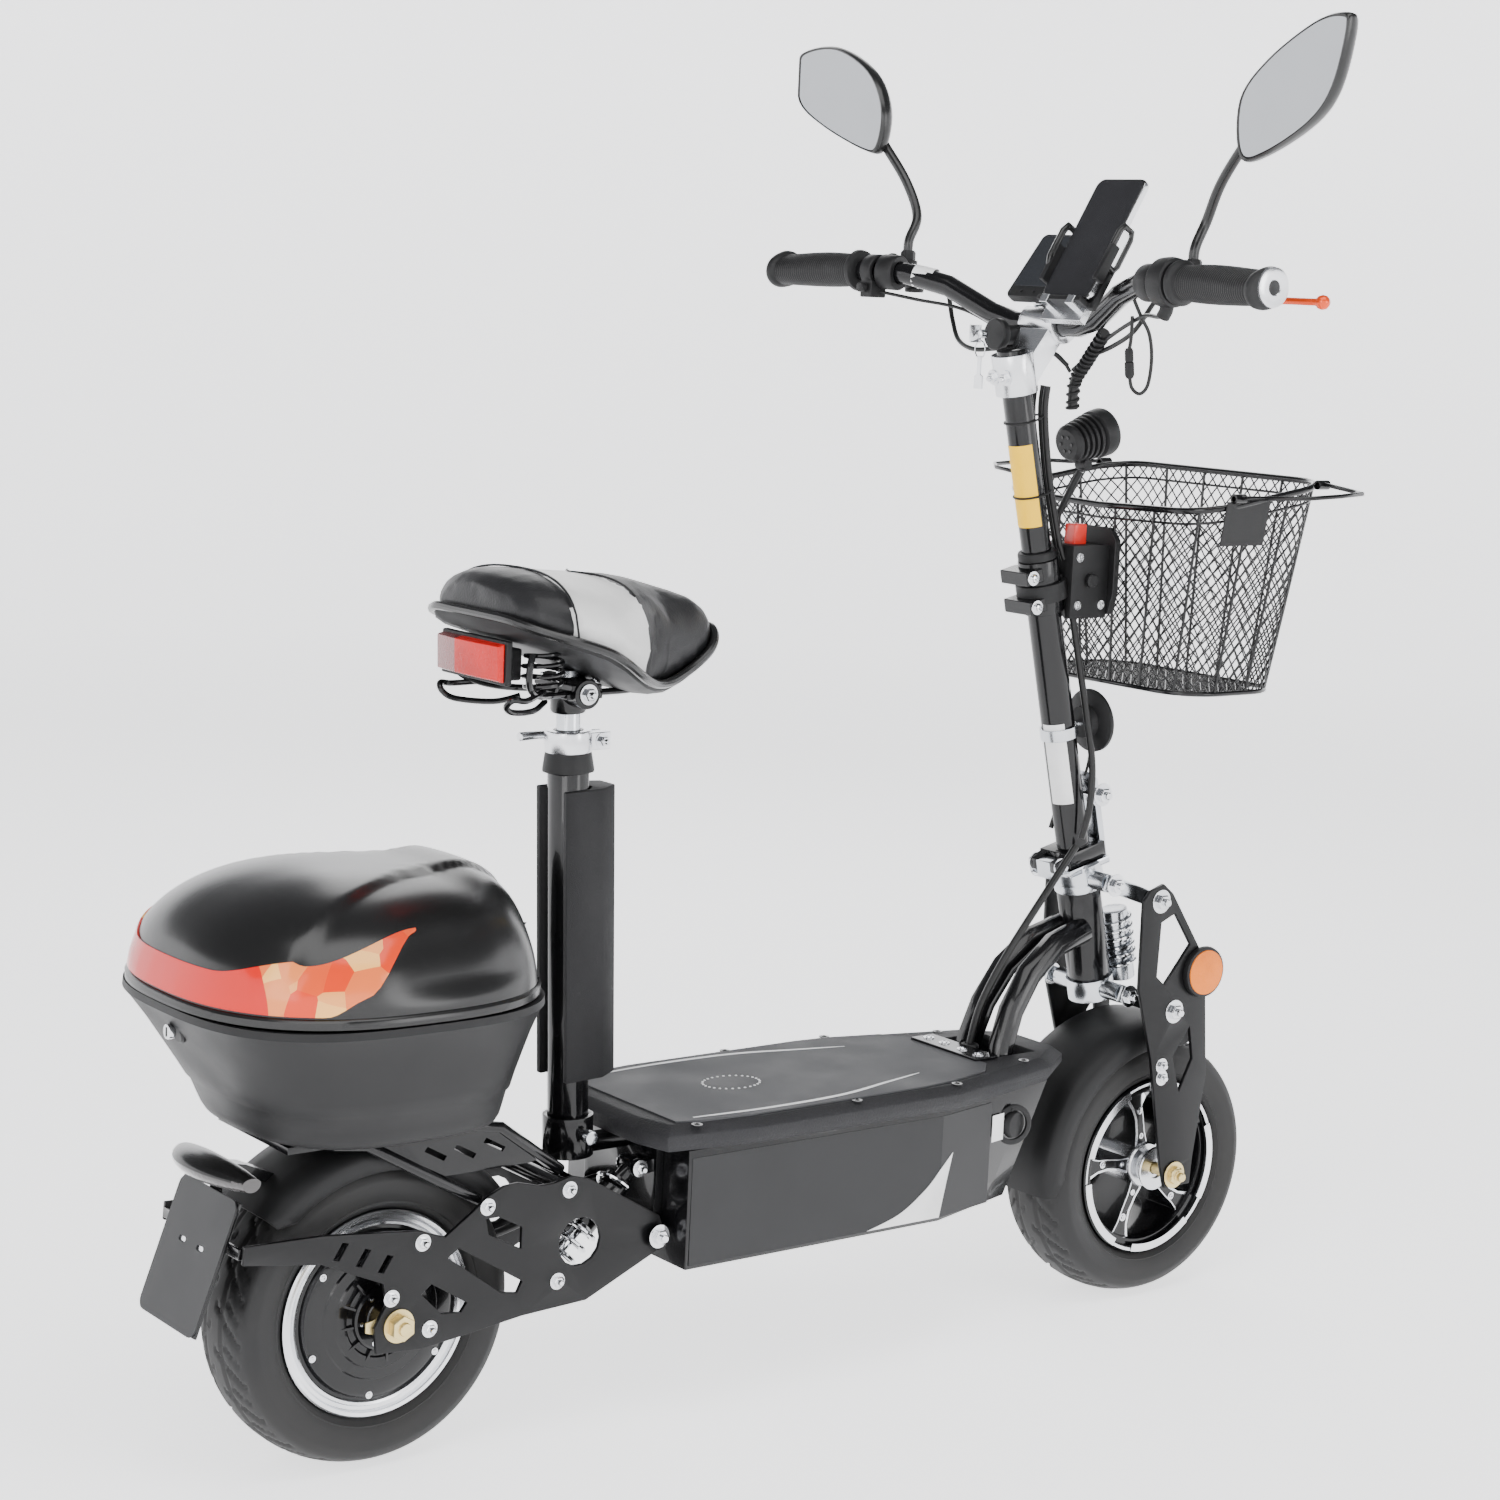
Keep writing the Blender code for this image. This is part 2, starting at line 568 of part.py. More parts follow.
def build_rack():
    low, high = 0.3035, 0.3095
    rack = new_part("luggage_rack", "black_paint",
                    *block((-0.105, -0.062, low), (0.085, 0.062, high)))
    stays = []
    for y in (0.058, -0.058):
        stays.append(bent_rod([(RACK_BOLT_A[0], y, RACK_BOLT_A[1] + 0.004), (-0.026, y, 0.300),
                               (-0.060, y, 0.305)], 0.0055))
        stays.append(bent_rod([(RACK_BOLT_B[0], y, RACK_BOLT_B[1] + 0.016), (0.108, y, 0.298),
                               (0.070, y, 0.305)], 0.0055))
        gusset = [(0.000, 0.303), (-0.012, 0.296), (0.052, 0.262), (0.086, 0.262), (0.140, 0.262),
                  (0.155, 0.266), (0.104, 0.303)]
        slots = [[(x, 0.287 - drop), (x + 0.020, 0.276 - drop), (x + 0.023, 0.280 - drop),
                  (x + 0.003, 0.291 - drop)]
                 for x, drop in ((0.030, 0.0), (0.060, 0.002), (0.090, 0.0))]
        stays.append(slab(gusset, y - 0.0015, y + 0.0015, slots))
    join(rack, *[new_part("piece", "black_paint", *shape) for shape in stays])


def build_plate():
    lean = Matrix.Rotation(radians(20), 4, "Y")
    at = Matrix.Translation(Vector((-0.1615, 0.0, 0.208)))
    plate = new_part("number_plate", "plate_grey",
                     *moved(block((-0.0015, -0.050, -0.059), (0.0015, 0.050, 0.059)), at @ lean))
    strap = [block((-0.1530, -0.0690, 0.2215), (-0.1495, 0.0690, 0.2310)),
             block((-0.157, -0.012, 0.222), (-0.150, 0.012, 0.230))]
    join(plate, *[new_part("strap", "plate_grey", *shape) for shape in strap])


def case_ring(z, rear, front, half, corner=0.085, steps=4):
    return rounded(rear, front, half, z, min(corner, half - 0.005), steps)


def build_top_case():
    floor, rim, wall = CASE_FLOOR, CASE_RIM, CASE_WALL
    outer = [case_ring(floor, -0.110, 0.108, 0.112), case_ring(floor + 0.016, -0.120, 0.112, 0.121),
             case_ring(floor + 0.030, -0.130, 0.113, 0.127),
             case_ring(rim - 0.010, -0.186, 0.131, 0.162),
             case_ring(rim - 0.009, -0.193, 0.135, 0.167), case_ring(rim, -0.194, 0.135, 0.168)]
    inner = [case_ring(floor + wall, -0.110 + wall, 0.108 - wall, 0.112 - wall),
             case_ring(floor + 0.030, -0.130 + wall, 0.113 - wall, 0.127 - wall),
             case_ring(rim - 0.010, -0.186 + wall, 0.131 - wall, 0.162 - wall),
             case_ring(rim, -0.186 + wall, 0.131 - wall, 0.162 - wall)]
    new_part("top_case_tub", "matte_black", *shell(outer, inner))
    low = rim + CLEAR
    dome = [(low, -0.195, 0.135, 0.169), (low + 0.012, -0.192, 0.135, 0.167),
            (low + 0.040, -0.178, 0.130, 0.155),
            (low + 0.070, -0.143, 0.120, 0.130), (low + 0.090, -0.088, 0.106, 0.095),
            (LID_TOP, -0.028, 0.082, 0.050)]
    outer = [case_ring(z, r, f, h) for z, r, f, h in reversed(dome)]
    inner = [case_ring(low, dome[0][1] + wall, dome[0][2] - wall, dome[0][3] - wall)]
    inner += [case_ring(z - wall, r + wall, f - wall, h - wall) for z, r, f, h in dome[1:]]
    pivot = (LID_HINGE[0], 0.0, LID_HINGE[1])
    new_part("top_case_lid", "gloss_black", *loft(outer + inner), pivot=pivot)
    lock = Vector((-0.1810, 0.0, 0.405))
    new_part("case_lock", "zinc", *rod(lock, lock + Vector((-0.006, 0, 0)), 0.0065, 12), pivot=lock)


def build_rear_shock():
    top = Vector((SHOCK_TOP[0], SHOCK_Y, SHOCK_TOP[1]))
    foot = Vector((SHOCK_FOOT[0], SHOCK_Y, SHOCK_FOOT[1]))
    along = (foot - top).normalized()
    eye = turned([(SHOCK_PIN_R + 0.0005, -0.008), (0.0085, -0.008), (0.0085, 0.008),
                  (SHOCK_PIN_R + 0.0005, 0.008)], top, 14)
    body = new_part("rear_shock_body", "alloy", *eye, pivot=top)
    join(body, new_part("neck", "alloy", *rod(top + along * 0.006, top + along * 0.020, 0.0075,
                                              12)),
         new_part("can", "alloy", *rod(top + along * 0.018, top + along * 0.072, 0.0135, 14)))
    cut(body, new_part("bore", "alloy", *rod(top + along * 0.026, top + along * 0.075, 0.0062, 12)))
    eye = turned([(SHOCK_PIN_R + 0.0012, -0.008), (0.0085, -0.008), (0.0085, 0.008),
                  (SHOCK_PIN_R + 0.0012, 0.008)], foot, 14)
    rod_part = new_part("rear_shock_rod", "zinc", *eye, pivot=foot)
    join(rod_part, new_part("stem", "zinc", *rod(foot - along * 0.007, foot - along * 0.090, 0.0055,
                                                 12)),
         new_part("seat", "zinc", *rod(foot - along * 0.009, foot - along * 0.015, 0.0145, 14)))
    pin = new_part("pin", "matte_black", *rod((foot.x, -PLATE_IN - 0.0055, foot.z),
                                              (foot.x, SHOCK_Y + 0.014, foot.z), SHOCK_PIN_R, 10))
    plate = bpy.data.objects["swingarm_right"]
    join(plate, pin, new_part("collar", "matte_black",
                              *rod((foot.x, -PLATE_IN - 0.001, foot.z),
                                   (foot.x, SHOCK_Y - 0.0085, foot.z), 0.0075, 12)))


# ------------------------------------------------------------ front end
def build_yoke():
    yoke = new_part("fork_yoke", "alloy", *rod(steer(-0.012), steer(0.139), STEERER_R, 20),
                    pivot=steer(0.0))
    parts = []
    for s in (0.0, LINK_RISE):
        lower = s < 0.01
        parts.append(rod(steer(s, 0.0, -0.047), steer(s, 0.0, 0.047), 0.0095, 14))
        parts.append(rod(steer(s, 0.0, -0.060), steer(s, 0.0, 0.060), 0.0045, 10))
        parts.append(rod(steer(s - (0.011 if lower else 0.0125)),
                         steer(s + (0.0115 if lower else 0.0105)), 0.0245, 20))
    parts.append(moved_box(-0.030, 0.026, 0.024, 0.1325, 0.1395))
    join(yoke, *[new_part("piece", "alloy", *shape) for shape in parts])
    ear = [moved_box(FOLD_BACK - 0.007, -0.020, 0.010, 0.1330, 0.1390),
           moved_box(FOLD_BACK - 0.007, -0.029, 0.010, 0.1340, 0.1510)]
    join(yoke, *[new_part("piece", "alloy", *shape) for shape in ear])
    pivot = steer(FOLD_S, FOLD_BACK)
    cut(yoke, new_part("bore", "alloy", *rod(pivot + Vector((0, -0.02, 0)),
                                             pivot + Vector((0, 0.02, 0)), 0.0036, 10)))


def moved_box(back, front, half, low, high):
    """A block square to the steering axis."""
    rings = [[steer(s, back, -half), steer(s, back, half), steer(s, front, half),
              steer(s, front, -half)] for s in (low, high)]
    return loft(rings)


def build_link(name, s):
    """A pair of flat bars tied across their front by a tube."""
    rear = steer(s)
    front = rear + Vector((LINK_X, 0.0, LINK_Z))
    along = Vector((LINK_X, 0.0, LINK_Z)).normalized()
    up = Vector((-along.z, 0.0, along.x))
    parts = []
    for side in (-1, 1):
        low, high = sorted((side * 0.0525, side * 0.0575))
        start, end = rear - along * 0.010, front + along * 0.010
        outline = [start - up * 0.008, end - up * 0.008, end + up * 0.008, start + up * 0.008]
        holes = [round_hole((p.x, p.z), r, 10) for p, r in ((rear, 0.0053), (front, 0.0049))]
        parts.append(slab([(p.x, p.z) for p in outline], low, high, holes))
    link = new_part(name, "alloy", *parts[0], pivot=rear)
    bridge_at = rear.lerp(front, 0.75)
    bridge = rod(bridge_at + Vector((0, -0.0545, 0)), bridge_at + Vector((0, 0.0545, 0)), 0.0045,
                 10)
    join(link, new_part("bridge", "alloy", *bridge), new_part("other", "alloy", *parts[1]))


def build_legs():
    low_front = steer(0.0) + Vector((LINK_X, 0.0, LINK_Z))
    up_front = steer(LINK_RISE) + Vector((LINK_X, 0.0, LINK_Z))
    outline = [(0.875, 0.446), (0.893, 0.452), (0.907, 0.441), (0.960, 0.366), (0.972, 0.242),
               (0.960, 0.155),
               (0.958, 0.127), (0.922, 0.127), (0.914, 0.152), (0.891, 0.267), (0.867, 0.344),
               (0.866, 0.436)]
    windows = [[(0.893, 0.412), (0.912, 0.420), (0.937, 0.385), (0.903, 0.345), (0.891, 0.355)],
               [(0.944, 0.298), (0.951, 0.262), (0.934, 0.228), (0.921, 0.268)]]
    holes = windows + [round_hole((WHEELBASE, WHEEL_R), AXLE_R + CLEAR)]
    for side, name in ((-1, "leg_plate_right"), (1, "leg_plate_left")):
        low, high = sorted((side * PLATE_IN, side * PLATE_OUT))
        plate = new_part(name, "matte_black", *slab(outline, low, high, holes), pivot=low_front)
        pins = [rod((p.x, side * 0.0520, p.z), (p.x, side * 0.0800, p.z), 0.0041,
                    10) for p in (low_front, up_front)]
        pins += [rod((p.x, side * 0.0580, p.z), (p.x, side * 0.0720, p.z), 0.0085,
                     12) for p in (low_front, up_front)]
        join(plate, *[new_part("pin", "matte_black", *shape) for shape in pins])
    axle = new_part("front_axle", "zinc", *rod((WHEELBASE, -0.084, WHEEL_R),
                                               (WHEELBASE, 0.084, WHEEL_R), AXLE_R),
                    pivot=(WHEELBASE, 0, WHEEL_R))
    for side in (-1, 1):
        join(axle, new_part("nut", "zinc", *rod((WHEELBASE, side * (PLATE_OUT + CLEAR), WHEEL_R),
                                                (WHEELBASE, side * 0.0815, WHEEL_R), 0.010, 6)))
    new_part("front_fender", "matte_black",
             *arc_shell((WHEELBASE, WHEEL_R), 72, 184, 9, guard_section(0.1580, 0.052, 0.026)),
             pivot=low_front)


def build_front_wheel():
    centre = (WHEELBASE, 0, WHEEL_R)
    half = [(0.0800, 0.030), (0.0855, 0.039), (BEAD_R - 0.0005, 0.040)]
    wheel = new_part("front_wheel", "alloy", *turned(half + [(r, -y) for r, y in reversed(half)],
                                                     centre, 28), pivot=centre)
    hub = turned([(AXLE_R + 0.0006, 0.047), (0.017, 0.047), (0.025, 0.032), (0.025, -0.032),
                  (0.017, -0.047), (AXLE_R + 0.0006, -0.047)],
                 centre, 16)
    spokes = []
    for k in range(5):
        a = radians(90 + 72 * k)
        out, side = Vector((cos(a), 0, sin(a))), Vector((-sin(a), 0, cos(a)))
        points = [(0.020, -0.011), (0.055, -0.009), (0.083, -0.016), (0.083, 0.016), (0.055, 0.009),
                  (0.020, 0.011)]
        world = [Vector(centre) + out * r + side * t for r, t in points]
        spokes.append(slab([(p.x, p.z) for p in world], -0.026, 0.026))
    join(wheel, *[new_part("piece", "alloy", *shape) for shape in spokes + [hub]])


def build_front_shock():
    low, high = steer(-0.006, LINK_FWD), steer(0.070, LINK_FWD)
    new_part("front_shock", "black_paint", *rod(low, high, 0.0142, 14), pivot=low)


# ------------------------------------------------------------ stem
def build_stem():
    fold = steer(FOLD_S, FOLD_BACK)
    stem = new_part("stem_lower", "black_paint",
                    *rod(steer(STEM_LOW_S - 0.002), steer(STEM_LOW_TOP), STEM_LOWER_R, 20),
                    pivot=fold)
    parts = [moved_box(-0.026, 0.024, 0.022, 0.1400 + CLEAR, 0.1560),
             rod(steer(0.405), steer(STEM_LOW_TOP + 0.004), 0.0205, 20)]
    join(stem, *[new_part("piece", "black_paint", *shape) for shape in parts])
    knuckles = []
    for side in (-1, 1):
        y0, y1 = sorted((side * 0.0105, side * 0.0200))
        corners = ((0.1403, FOLD_BACK - 0.007), (0.1403, -0.020), (0.1560, -0.020),
                   (0.1520, FOLD_BACK - 0.007))
        rings = [[steer(s, back, y) for s, back in corners] for y in (y0, y1)]
        knuckles.append(loft(rings))
    knuckles.append(rod(fold + Vector((0, -0.024, 0)), fold + Vector((0, 0.024, 0)), 0.0032, 10))
    join(stem, *[new_part("piece", "black_paint", *shape) for shape in knuckles])
    cut(stem, new_part("bore", "black_paint", *rod(steer(0.200), steer(STEM_LOW_TOP + 0.05),
                                                   STEM_BORE_R, 20)))
    new_part("stem_upper", "black_paint", *rod(steer(0.330), steer(STEM_TOP_S), STEM_UPPER_R, 20),
             pivot=steer(STEM_TOP_S))
    hinge = steer(0.205, 0.027)
    hook = [steer(s, f) for s, f in ((0.1270, 0.0250), (0.1270, 0.0345), (0.218, 0.0345),
                                     (0.226, 0.0290), (0.218, 0.0235),
                                     (0.196, 0.0235), (0.190, 0.0275), (0.1310, 0.0275),
                                     (0.1310, 0.0250))]
    latch = new_part("stem_latch", "matte_black", *slab([(p.x, p.z) for p in hook], -0.011, 0.011),
                     pivot=hinge)
    join(latch, new_part("knob", "matte_black",
                         *rod(hinge + Vector((0, -0.024, 0)), hinge + Vector((0, 0.011, 0)), 0.0055,
                              10)))


def basket_ring(z_rear, z_front, rear, front, half):
    """A level of the basket wall, higher at the front than at the rear."""
    points = rounded(rear, front, half, 0.0, BASKET_CORNER, 3)
    for p in points:
        p.z = z_rear + (z_front - z_rear) * (p.x - rear) / (front - rear)
    return points


def build_basket():
    z0 = BASKET_FLOOR
    rim_rear, rim_front = 0.838, 0.866
    wall = 0.0022
    outer = [basket_ring(z0, z0, 0.856, 0.994, 0.124),
             basket_ring(rim_rear, rim_front, 0.838, 1.014, 0.154)]
    inner = [basket_ring(z0 + wall, z0 + wall, 0.856 + wall, 0.994 - wall, 0.124 - wall),
             basket_ring(rim_rear, rim_front, 0.838 + wall, 1.014 - wall, 0.154 - wall)]
    new_part("basket", "black_paint", *shell(outer, inner), pivot=(0.838, 0.0, 0.76))
    for side, name in ((1, "basket_handle_left"), (-1, "basket_handle_right")):
        y = side * 0.1595
        path = [(0.877, y, 0.853), (0.882, side * 0.205, 0.856), (0.900, side * 0.228, 0.858),
                (0.939, side * 0.231, 0.860),
                (0.974, side * 0.228, 0.862), (0.990, side * 0.205, 0.862), (0.994, y, 0.866)]
        new_part(name, "black_paint", *bent_rod(path, 0.0024, 6), pivot=(0.932, y, 0.860))
    bracket = new_part("basket_bracket", "matte_black",
                       *block((0.786, -0.024, 0.722), (0.8350, 0.024, 0.795)))
    band = [rod(steer(0.418), steer(0.436), 0.0255, 16),
            block((0.765, -0.010, 0.737), (0.790, 0.010, 0.765)),
            bent_rod([(0.800, 0.018, 0.790), (0.800, 0.017, 0.822), (0.806, 0.006, 0.850),
                      (0.811, 0.0, 0.867)], 0.0035, 8)]
    join(bracket, *[new_part("piece", "matte_black", *shape) for shape in band])
    cut(bracket, new_part("bore", "matte_black", *rod(steer(0.38), steer(0.47), 0.0208, 20)),
        new_part("slot", "matte_black", *block((0.8015, -0.0080, 0.776), (0.8185, 0.0080, 0.80))))
    button = Vector((0.810, 0.0, 0.785))
    new_part("basket_release", "red_plastic", *block((0.802, -0.0075, 0.7815),
                                                     (0.818, 0.0075, 0.815)), pivot=button)


# ------------------------------------------------------------ cockpit
def bar_path(side):
    return [BAR_MID + Vector((0.0, side * 0.0, 0.0)), BAR_MID + Vector((0.0, side * 0.045, 0.0)),
            Vector((0.7500, side * 0.075, 1.020)), Vector((0.7330, side * 0.125, 1.045)),
            Vector((0.7160, side * 0.170, 1.0555)), Vector((0.7050, side * 0.215, 1.0570)),
            Vector((0.6980, side * 0.3535, 1.0560))]


def grip_ends(side):
    inner, outer = bar_path(side)[-2:]
    along = (outer - inner).normalized()
    start = inner + along * (GRIP_IN - 0.215)
    return start, start + along * (GRIP_OUT - GRIP_IN), along


def build_bars():
    path = list(reversed(bar_path(-1))) + bar_path(1)[1:]
    new_part("handlebar", "black_paint", *bent_rod(path, BAR_R, 12), pivot=BAR_MID)
    clamp = new_part("handlebar_clamp", "alloy",
                     *tube(steer(0.628), steer(0.668), 0.0210, STEM_UPPER_R + CLEAR, 20))
    arm = loft([[steer(s, f, y) for s, y in ((low, -w), (low, w), (high, w), (high, -w))]
                for f, w, low, high in ((0.010, 0.017, 0.634, 0.664),
                                        (0.046, 0.022, 0.670, 0.698))])
    ring = tube(BAR_MID + Vector((0, -0.024, 0)), BAR_MID + Vector((0, 0.024, 0)), 0.0185,
                BAR_R + CLEAR, 16)
    join(clamp, new_part("arm", "alloy", *arm), new_part("ring", "alloy", *ring))
    way = [rod(BAR_MID + Vector((0, -0.03, 0)), BAR_MID + Vector((0, 0.03, 0)), BAR_R + CLEAR, 16),
           rod(steer(0.60), steer(0.69), STEM_UPPER_R + CLEAR, 20)]
    cut(clamp, *[new_part("way", "alloy", *shape) for shape in way])
    for side, name in ((1, "left_grip"), (-1, "throttle_grip")):
        start, end, _ = grip_ends(side)
        new_part(name, "rubber", *tube(start, end, GRIP_R, BAR_R + 0.0005, 16), pivot=start)


def build_levers():
    for side, name, colour in ((1, "brake_lever_left", "black_paint"),
                               (-1, "brake_lever_right", "orange_red")):
        pivot = Vector((0.7420, side * 0.1900, 1.0450))
        bends = ((0, 0), (0.012, 0.020), (0.018, 0.060), (0.012, 0.115), (0.016, 0.168))
        path = [pivot + Vector((x, side * y, 0)) for x, y in bends]
        lever = new_part(name, colour, *bent_rod(path, 0.0052, 8), pivot=pivot)
        join(lever, new_part("boss", colour, *rod(pivot - Vector((0, 0, 0.007)),
                                                  pivot + Vector((0, 0, 0.007)), 0.0085, 12)))
    button = Vector((0.6905, 0.2080, 1.0400))
    new_part("horn_button", "matte_black", *rod(button, button + Vector((-0.007, 0, 0)), 0.0050,
                                                12), pivot=button)
    key = Vector((0.7010, 0.030, 1.000))
    bow = new_part("ignition_key", "zinc", *block(key + Vector((-0.020, -0.0010, -0.0085)),
                                                  key + Vector((-0.006, 0.0010, 0.0085))),
                   pivot=key)
    join(bow, new_part("barrel", "zinc", *rod(key + Vector((-0.008, 0, 0)), key, 0.0045, 10)))


def leaning(lean):
    """The up and outward directions of a face that leans back from the upright."""
    return Vector((sin(lean), 0, cos(lean))), Vector((-cos(lean), 0, sin(lean)))


def tile(lean, base, half, height, thick, y):
    """A flat tile standing on base, leaning forward by an angle."""
    up, out = leaning(lean)
    corners = [(-half, 0.0), (half, 0.0), (half, height), (-half, height)]
    return loft([[base + up * h + out * t + Vector((0, y + w, 0)) for w,
                  h in corners] for t in (0.0, -thick)])


def build_display():
    lean = radians(38)
    up, out = leaning(lean)
    foot = Vector((0.7300, 0.0, 1.0380))
    hinge = Vector((0.7640, 0.0, 1.0420))
    display = new_part("display", "gloss_black", *tile(lean, foot, 0.037, 0.079, 0.013, 0.0),
                       pivot=hinge)
    ears = rod(hinge + Vector((0, -0.015, 0)), hinge + Vector((0, 0.015, 0)), 0.0060, 10)
    neck = tile(lean, foot + up * 0.018 - out * 0.010, 0.012, 0.011, 0.012, 0.0)
    join(display, new_part("ear", "gloss_black", *ears), new_part("neck", "gloss_black", *neck))
    lean_phone = radians(31)
    up, out = leaning(lean_phone)
    base = Vector((0.7045, 0.0, 1.0300))
    middle = base + up * 0.035 - out * 0.006 + Vector((0, -0.080, 0))
    holder = new_part("phone_holder", "matte_black",
                      *tile(lean_phone, base, 0.036, 0.070, 0.006, -0.080), pivot=middle)
    lip = tile(lean_phone, base + out * 0.014, 0.030, 0.005, 0.016, -0.080)
    cheek = tile(lean_phone, base + up * 0.022 + out * 0.014, 0.003, 0.040, 0.016, -0.0425)
    join(holder, new_part("lip", "matte_black", *lip), new_part("cheek", "matte_black", *cheek))
    jaw_base = base + up * 0.022 + out * 0.018
    new_part("phone_jaw", "alloy", *tile(lean_phone, jaw_base, 0.003, 0.040, 0.010, -0.1200),
             pivot=jaw_base + Vector((0, -0.120, 0)))


def build_mirrors():
    for side, name in ((1, "mirror_left"), (-1, "mirror_right")):
        base = Vector((0.7450, side * 0.2060, 1.0700))
        if side > 0:
            outline = [(0.252, 1.182), (0.275, 1.180), (0.345, 1.205), (0.390, 1.232),
                       (0.394, 1.268),
                       (0.386, 1.285), (0.330, 1.288), (0.272, 1.262), (0.246, 1.222)]
        else:
            outline = [(-0.262, 1.172), (-0.290, 1.172), (-0.345, 1.200), (-0.372, 1.232),
                       (-0.385, 1.285),
                       (-0.378, 1.298), (-0.345, 1.290), (-0.290, 1.258), (-0.258, 1.222)]
        plane = [Vector((0.7430, y, z)) for y, z in outline]
        middle = sum(plane, Vector()) / len(plane)
        rings = [[middle + (p - middle) * scale + Vector((dx, 0, 0)) for p in plane]
                 for scale, dx in ((0.97, -0.008), (1.0, -0.003), (0.96, 0.005), (0.70, 0.016))]
        mirror = new_part(name, "gloss_black", *loft(rings), pivot=base)
        stalk = [base, base + Vector((0.004, 0, 0.020)), Vector((0.7560, side * 0.2060, 1.1150)),
                 Vector((0.7530, side * 0.2320, 1.1560)), Vector((0.7480, side * 0.2620, 1.1920)),
                 Vector((0.7470, side * 0.2900, 1.2150))]
        join(mirror, new_part("stalk", "gloss_black", *bent_rod(stalk, 0.0048, 8)))


def build_lamp():
    back, front = Vector((0.790, 0.0, 0.894)), Vector((0.842, 0.0, 0.908))
    along = (front - back).normalized()
    rings = [circle(back, along, 0.0170, 16), circle(back + along * 0.006, along, 0.0215, 16),
             circle(front - along * 0.012, along, 0.0245, 16), circle(front, along, 0.0235, 16)]
    pivot = Vector((0.815, 0.0, 0.8740))
    lamp = new_part("headlamp", "gloss_black", *loft(rings), pivot=pivot)
    join(lamp, new_part("ear", "gloss_black", *rod(pivot - Vector((0, 0.006, 0)),
                                                   pivot + Vector((0, 0.006, 0)), 0.0055, 10)))


def centre_machine():
    """Hang every piece on one empty that puts the machine over the origin."""
    root = bpy.data.objects.new("machine_origin", None)
    root.location = (-CENTRE_X, 0.0, 0.0)
    bpy.context.scene.collection.objects.link(root)
    for obj in bpy.data.objects:
        if obj is not root:
            obj.parent = root


def main():
    clear_scene()
    build_box()
    build_deck()
    build_front_frame()
    build_rear_bracket()
    build_charge_cap()
    build_kickstand()
    build_seat_tube()
    build_seat_case()
    build_seat_post()
    build_saddle()
    build_swingarm()
    for name, x in (("rear_tyre", 0.0), ("front_tyre", WHEELBASE)):
        build_tyre(name, x)
    build_hub_motor()
    build_rear_fender()
    build_rack()
    build_plate()
    build_top_case()
    build_rear_shock()
    build_yoke()
    build_link("front_upper_link", LINK_RISE)
    build_link("front_lower_link", 0.0)
    build_legs()
    build_front_wheel()
    build_front_shock()
    build_stem()
    build_basket()
    build_bars()
    build_levers()
    build_display()
    build_mirrors()
    build_lamp()
    centre_machine()


main()
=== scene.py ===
"""Seated electric scooter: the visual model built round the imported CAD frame."""

from math import asin, cos, pi, radians, sin

import bmesh
import bpy
from mathutils import Matrix, Vector


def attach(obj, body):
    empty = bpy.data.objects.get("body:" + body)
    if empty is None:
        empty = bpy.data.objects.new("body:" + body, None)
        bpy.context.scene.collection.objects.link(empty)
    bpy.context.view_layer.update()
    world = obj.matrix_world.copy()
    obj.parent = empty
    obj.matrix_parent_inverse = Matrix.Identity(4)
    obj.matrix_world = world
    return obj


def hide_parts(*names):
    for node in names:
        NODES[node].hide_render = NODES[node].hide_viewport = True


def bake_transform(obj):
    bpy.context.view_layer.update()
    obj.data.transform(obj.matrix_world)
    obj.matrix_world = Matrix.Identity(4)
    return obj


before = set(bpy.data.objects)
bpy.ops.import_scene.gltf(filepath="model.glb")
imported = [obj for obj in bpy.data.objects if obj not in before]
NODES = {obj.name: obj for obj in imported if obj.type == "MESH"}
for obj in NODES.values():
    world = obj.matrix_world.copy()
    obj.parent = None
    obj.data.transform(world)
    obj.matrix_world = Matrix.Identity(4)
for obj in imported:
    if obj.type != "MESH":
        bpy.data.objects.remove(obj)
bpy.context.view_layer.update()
SHIFT = Vector((-0.439, 0.0, 0.0))      # pieces are drawn from the rear axle, x = 0
WHEEL_R = 0.14
WHEELBASE = 0.933
RAKE = radians(13.7)
STEER_DIR = Vector((-sin(RAKE), 0.0, cos(RAKE)))
STEER_FWD = Vector((cos(RAKE), 0.0, sin(RAKE)))
STEER_FOOT = Vector((0.869, 0.0, 0.334))
SEAT_FOOT = Vector((0.2195, 0.0, 0.256))
SEAT_DIR = Vector((-0.04, 0.0, 1.0)).normalized()
SEAT_FWD = Vector((SEAT_DIR.z, 0.0, -SEAT_DIR.x))
X, Y, Z = Vector((1, 0, 0)), Vector((0, 1, 0)), Vector((0, 0, 1))


def steer(s, f=0.0, y=0.0):
    p = STEER_FOOT + STEER_DIR * s + STEER_FWD * f
    return Vector((p.x, y, p.z))


def seat(s, f=0.0, y=0.0):
    p = SEAT_FOOT + SEAT_DIR * s + SEAT_FWD * f
    return Vector((p.x, y, p.z))


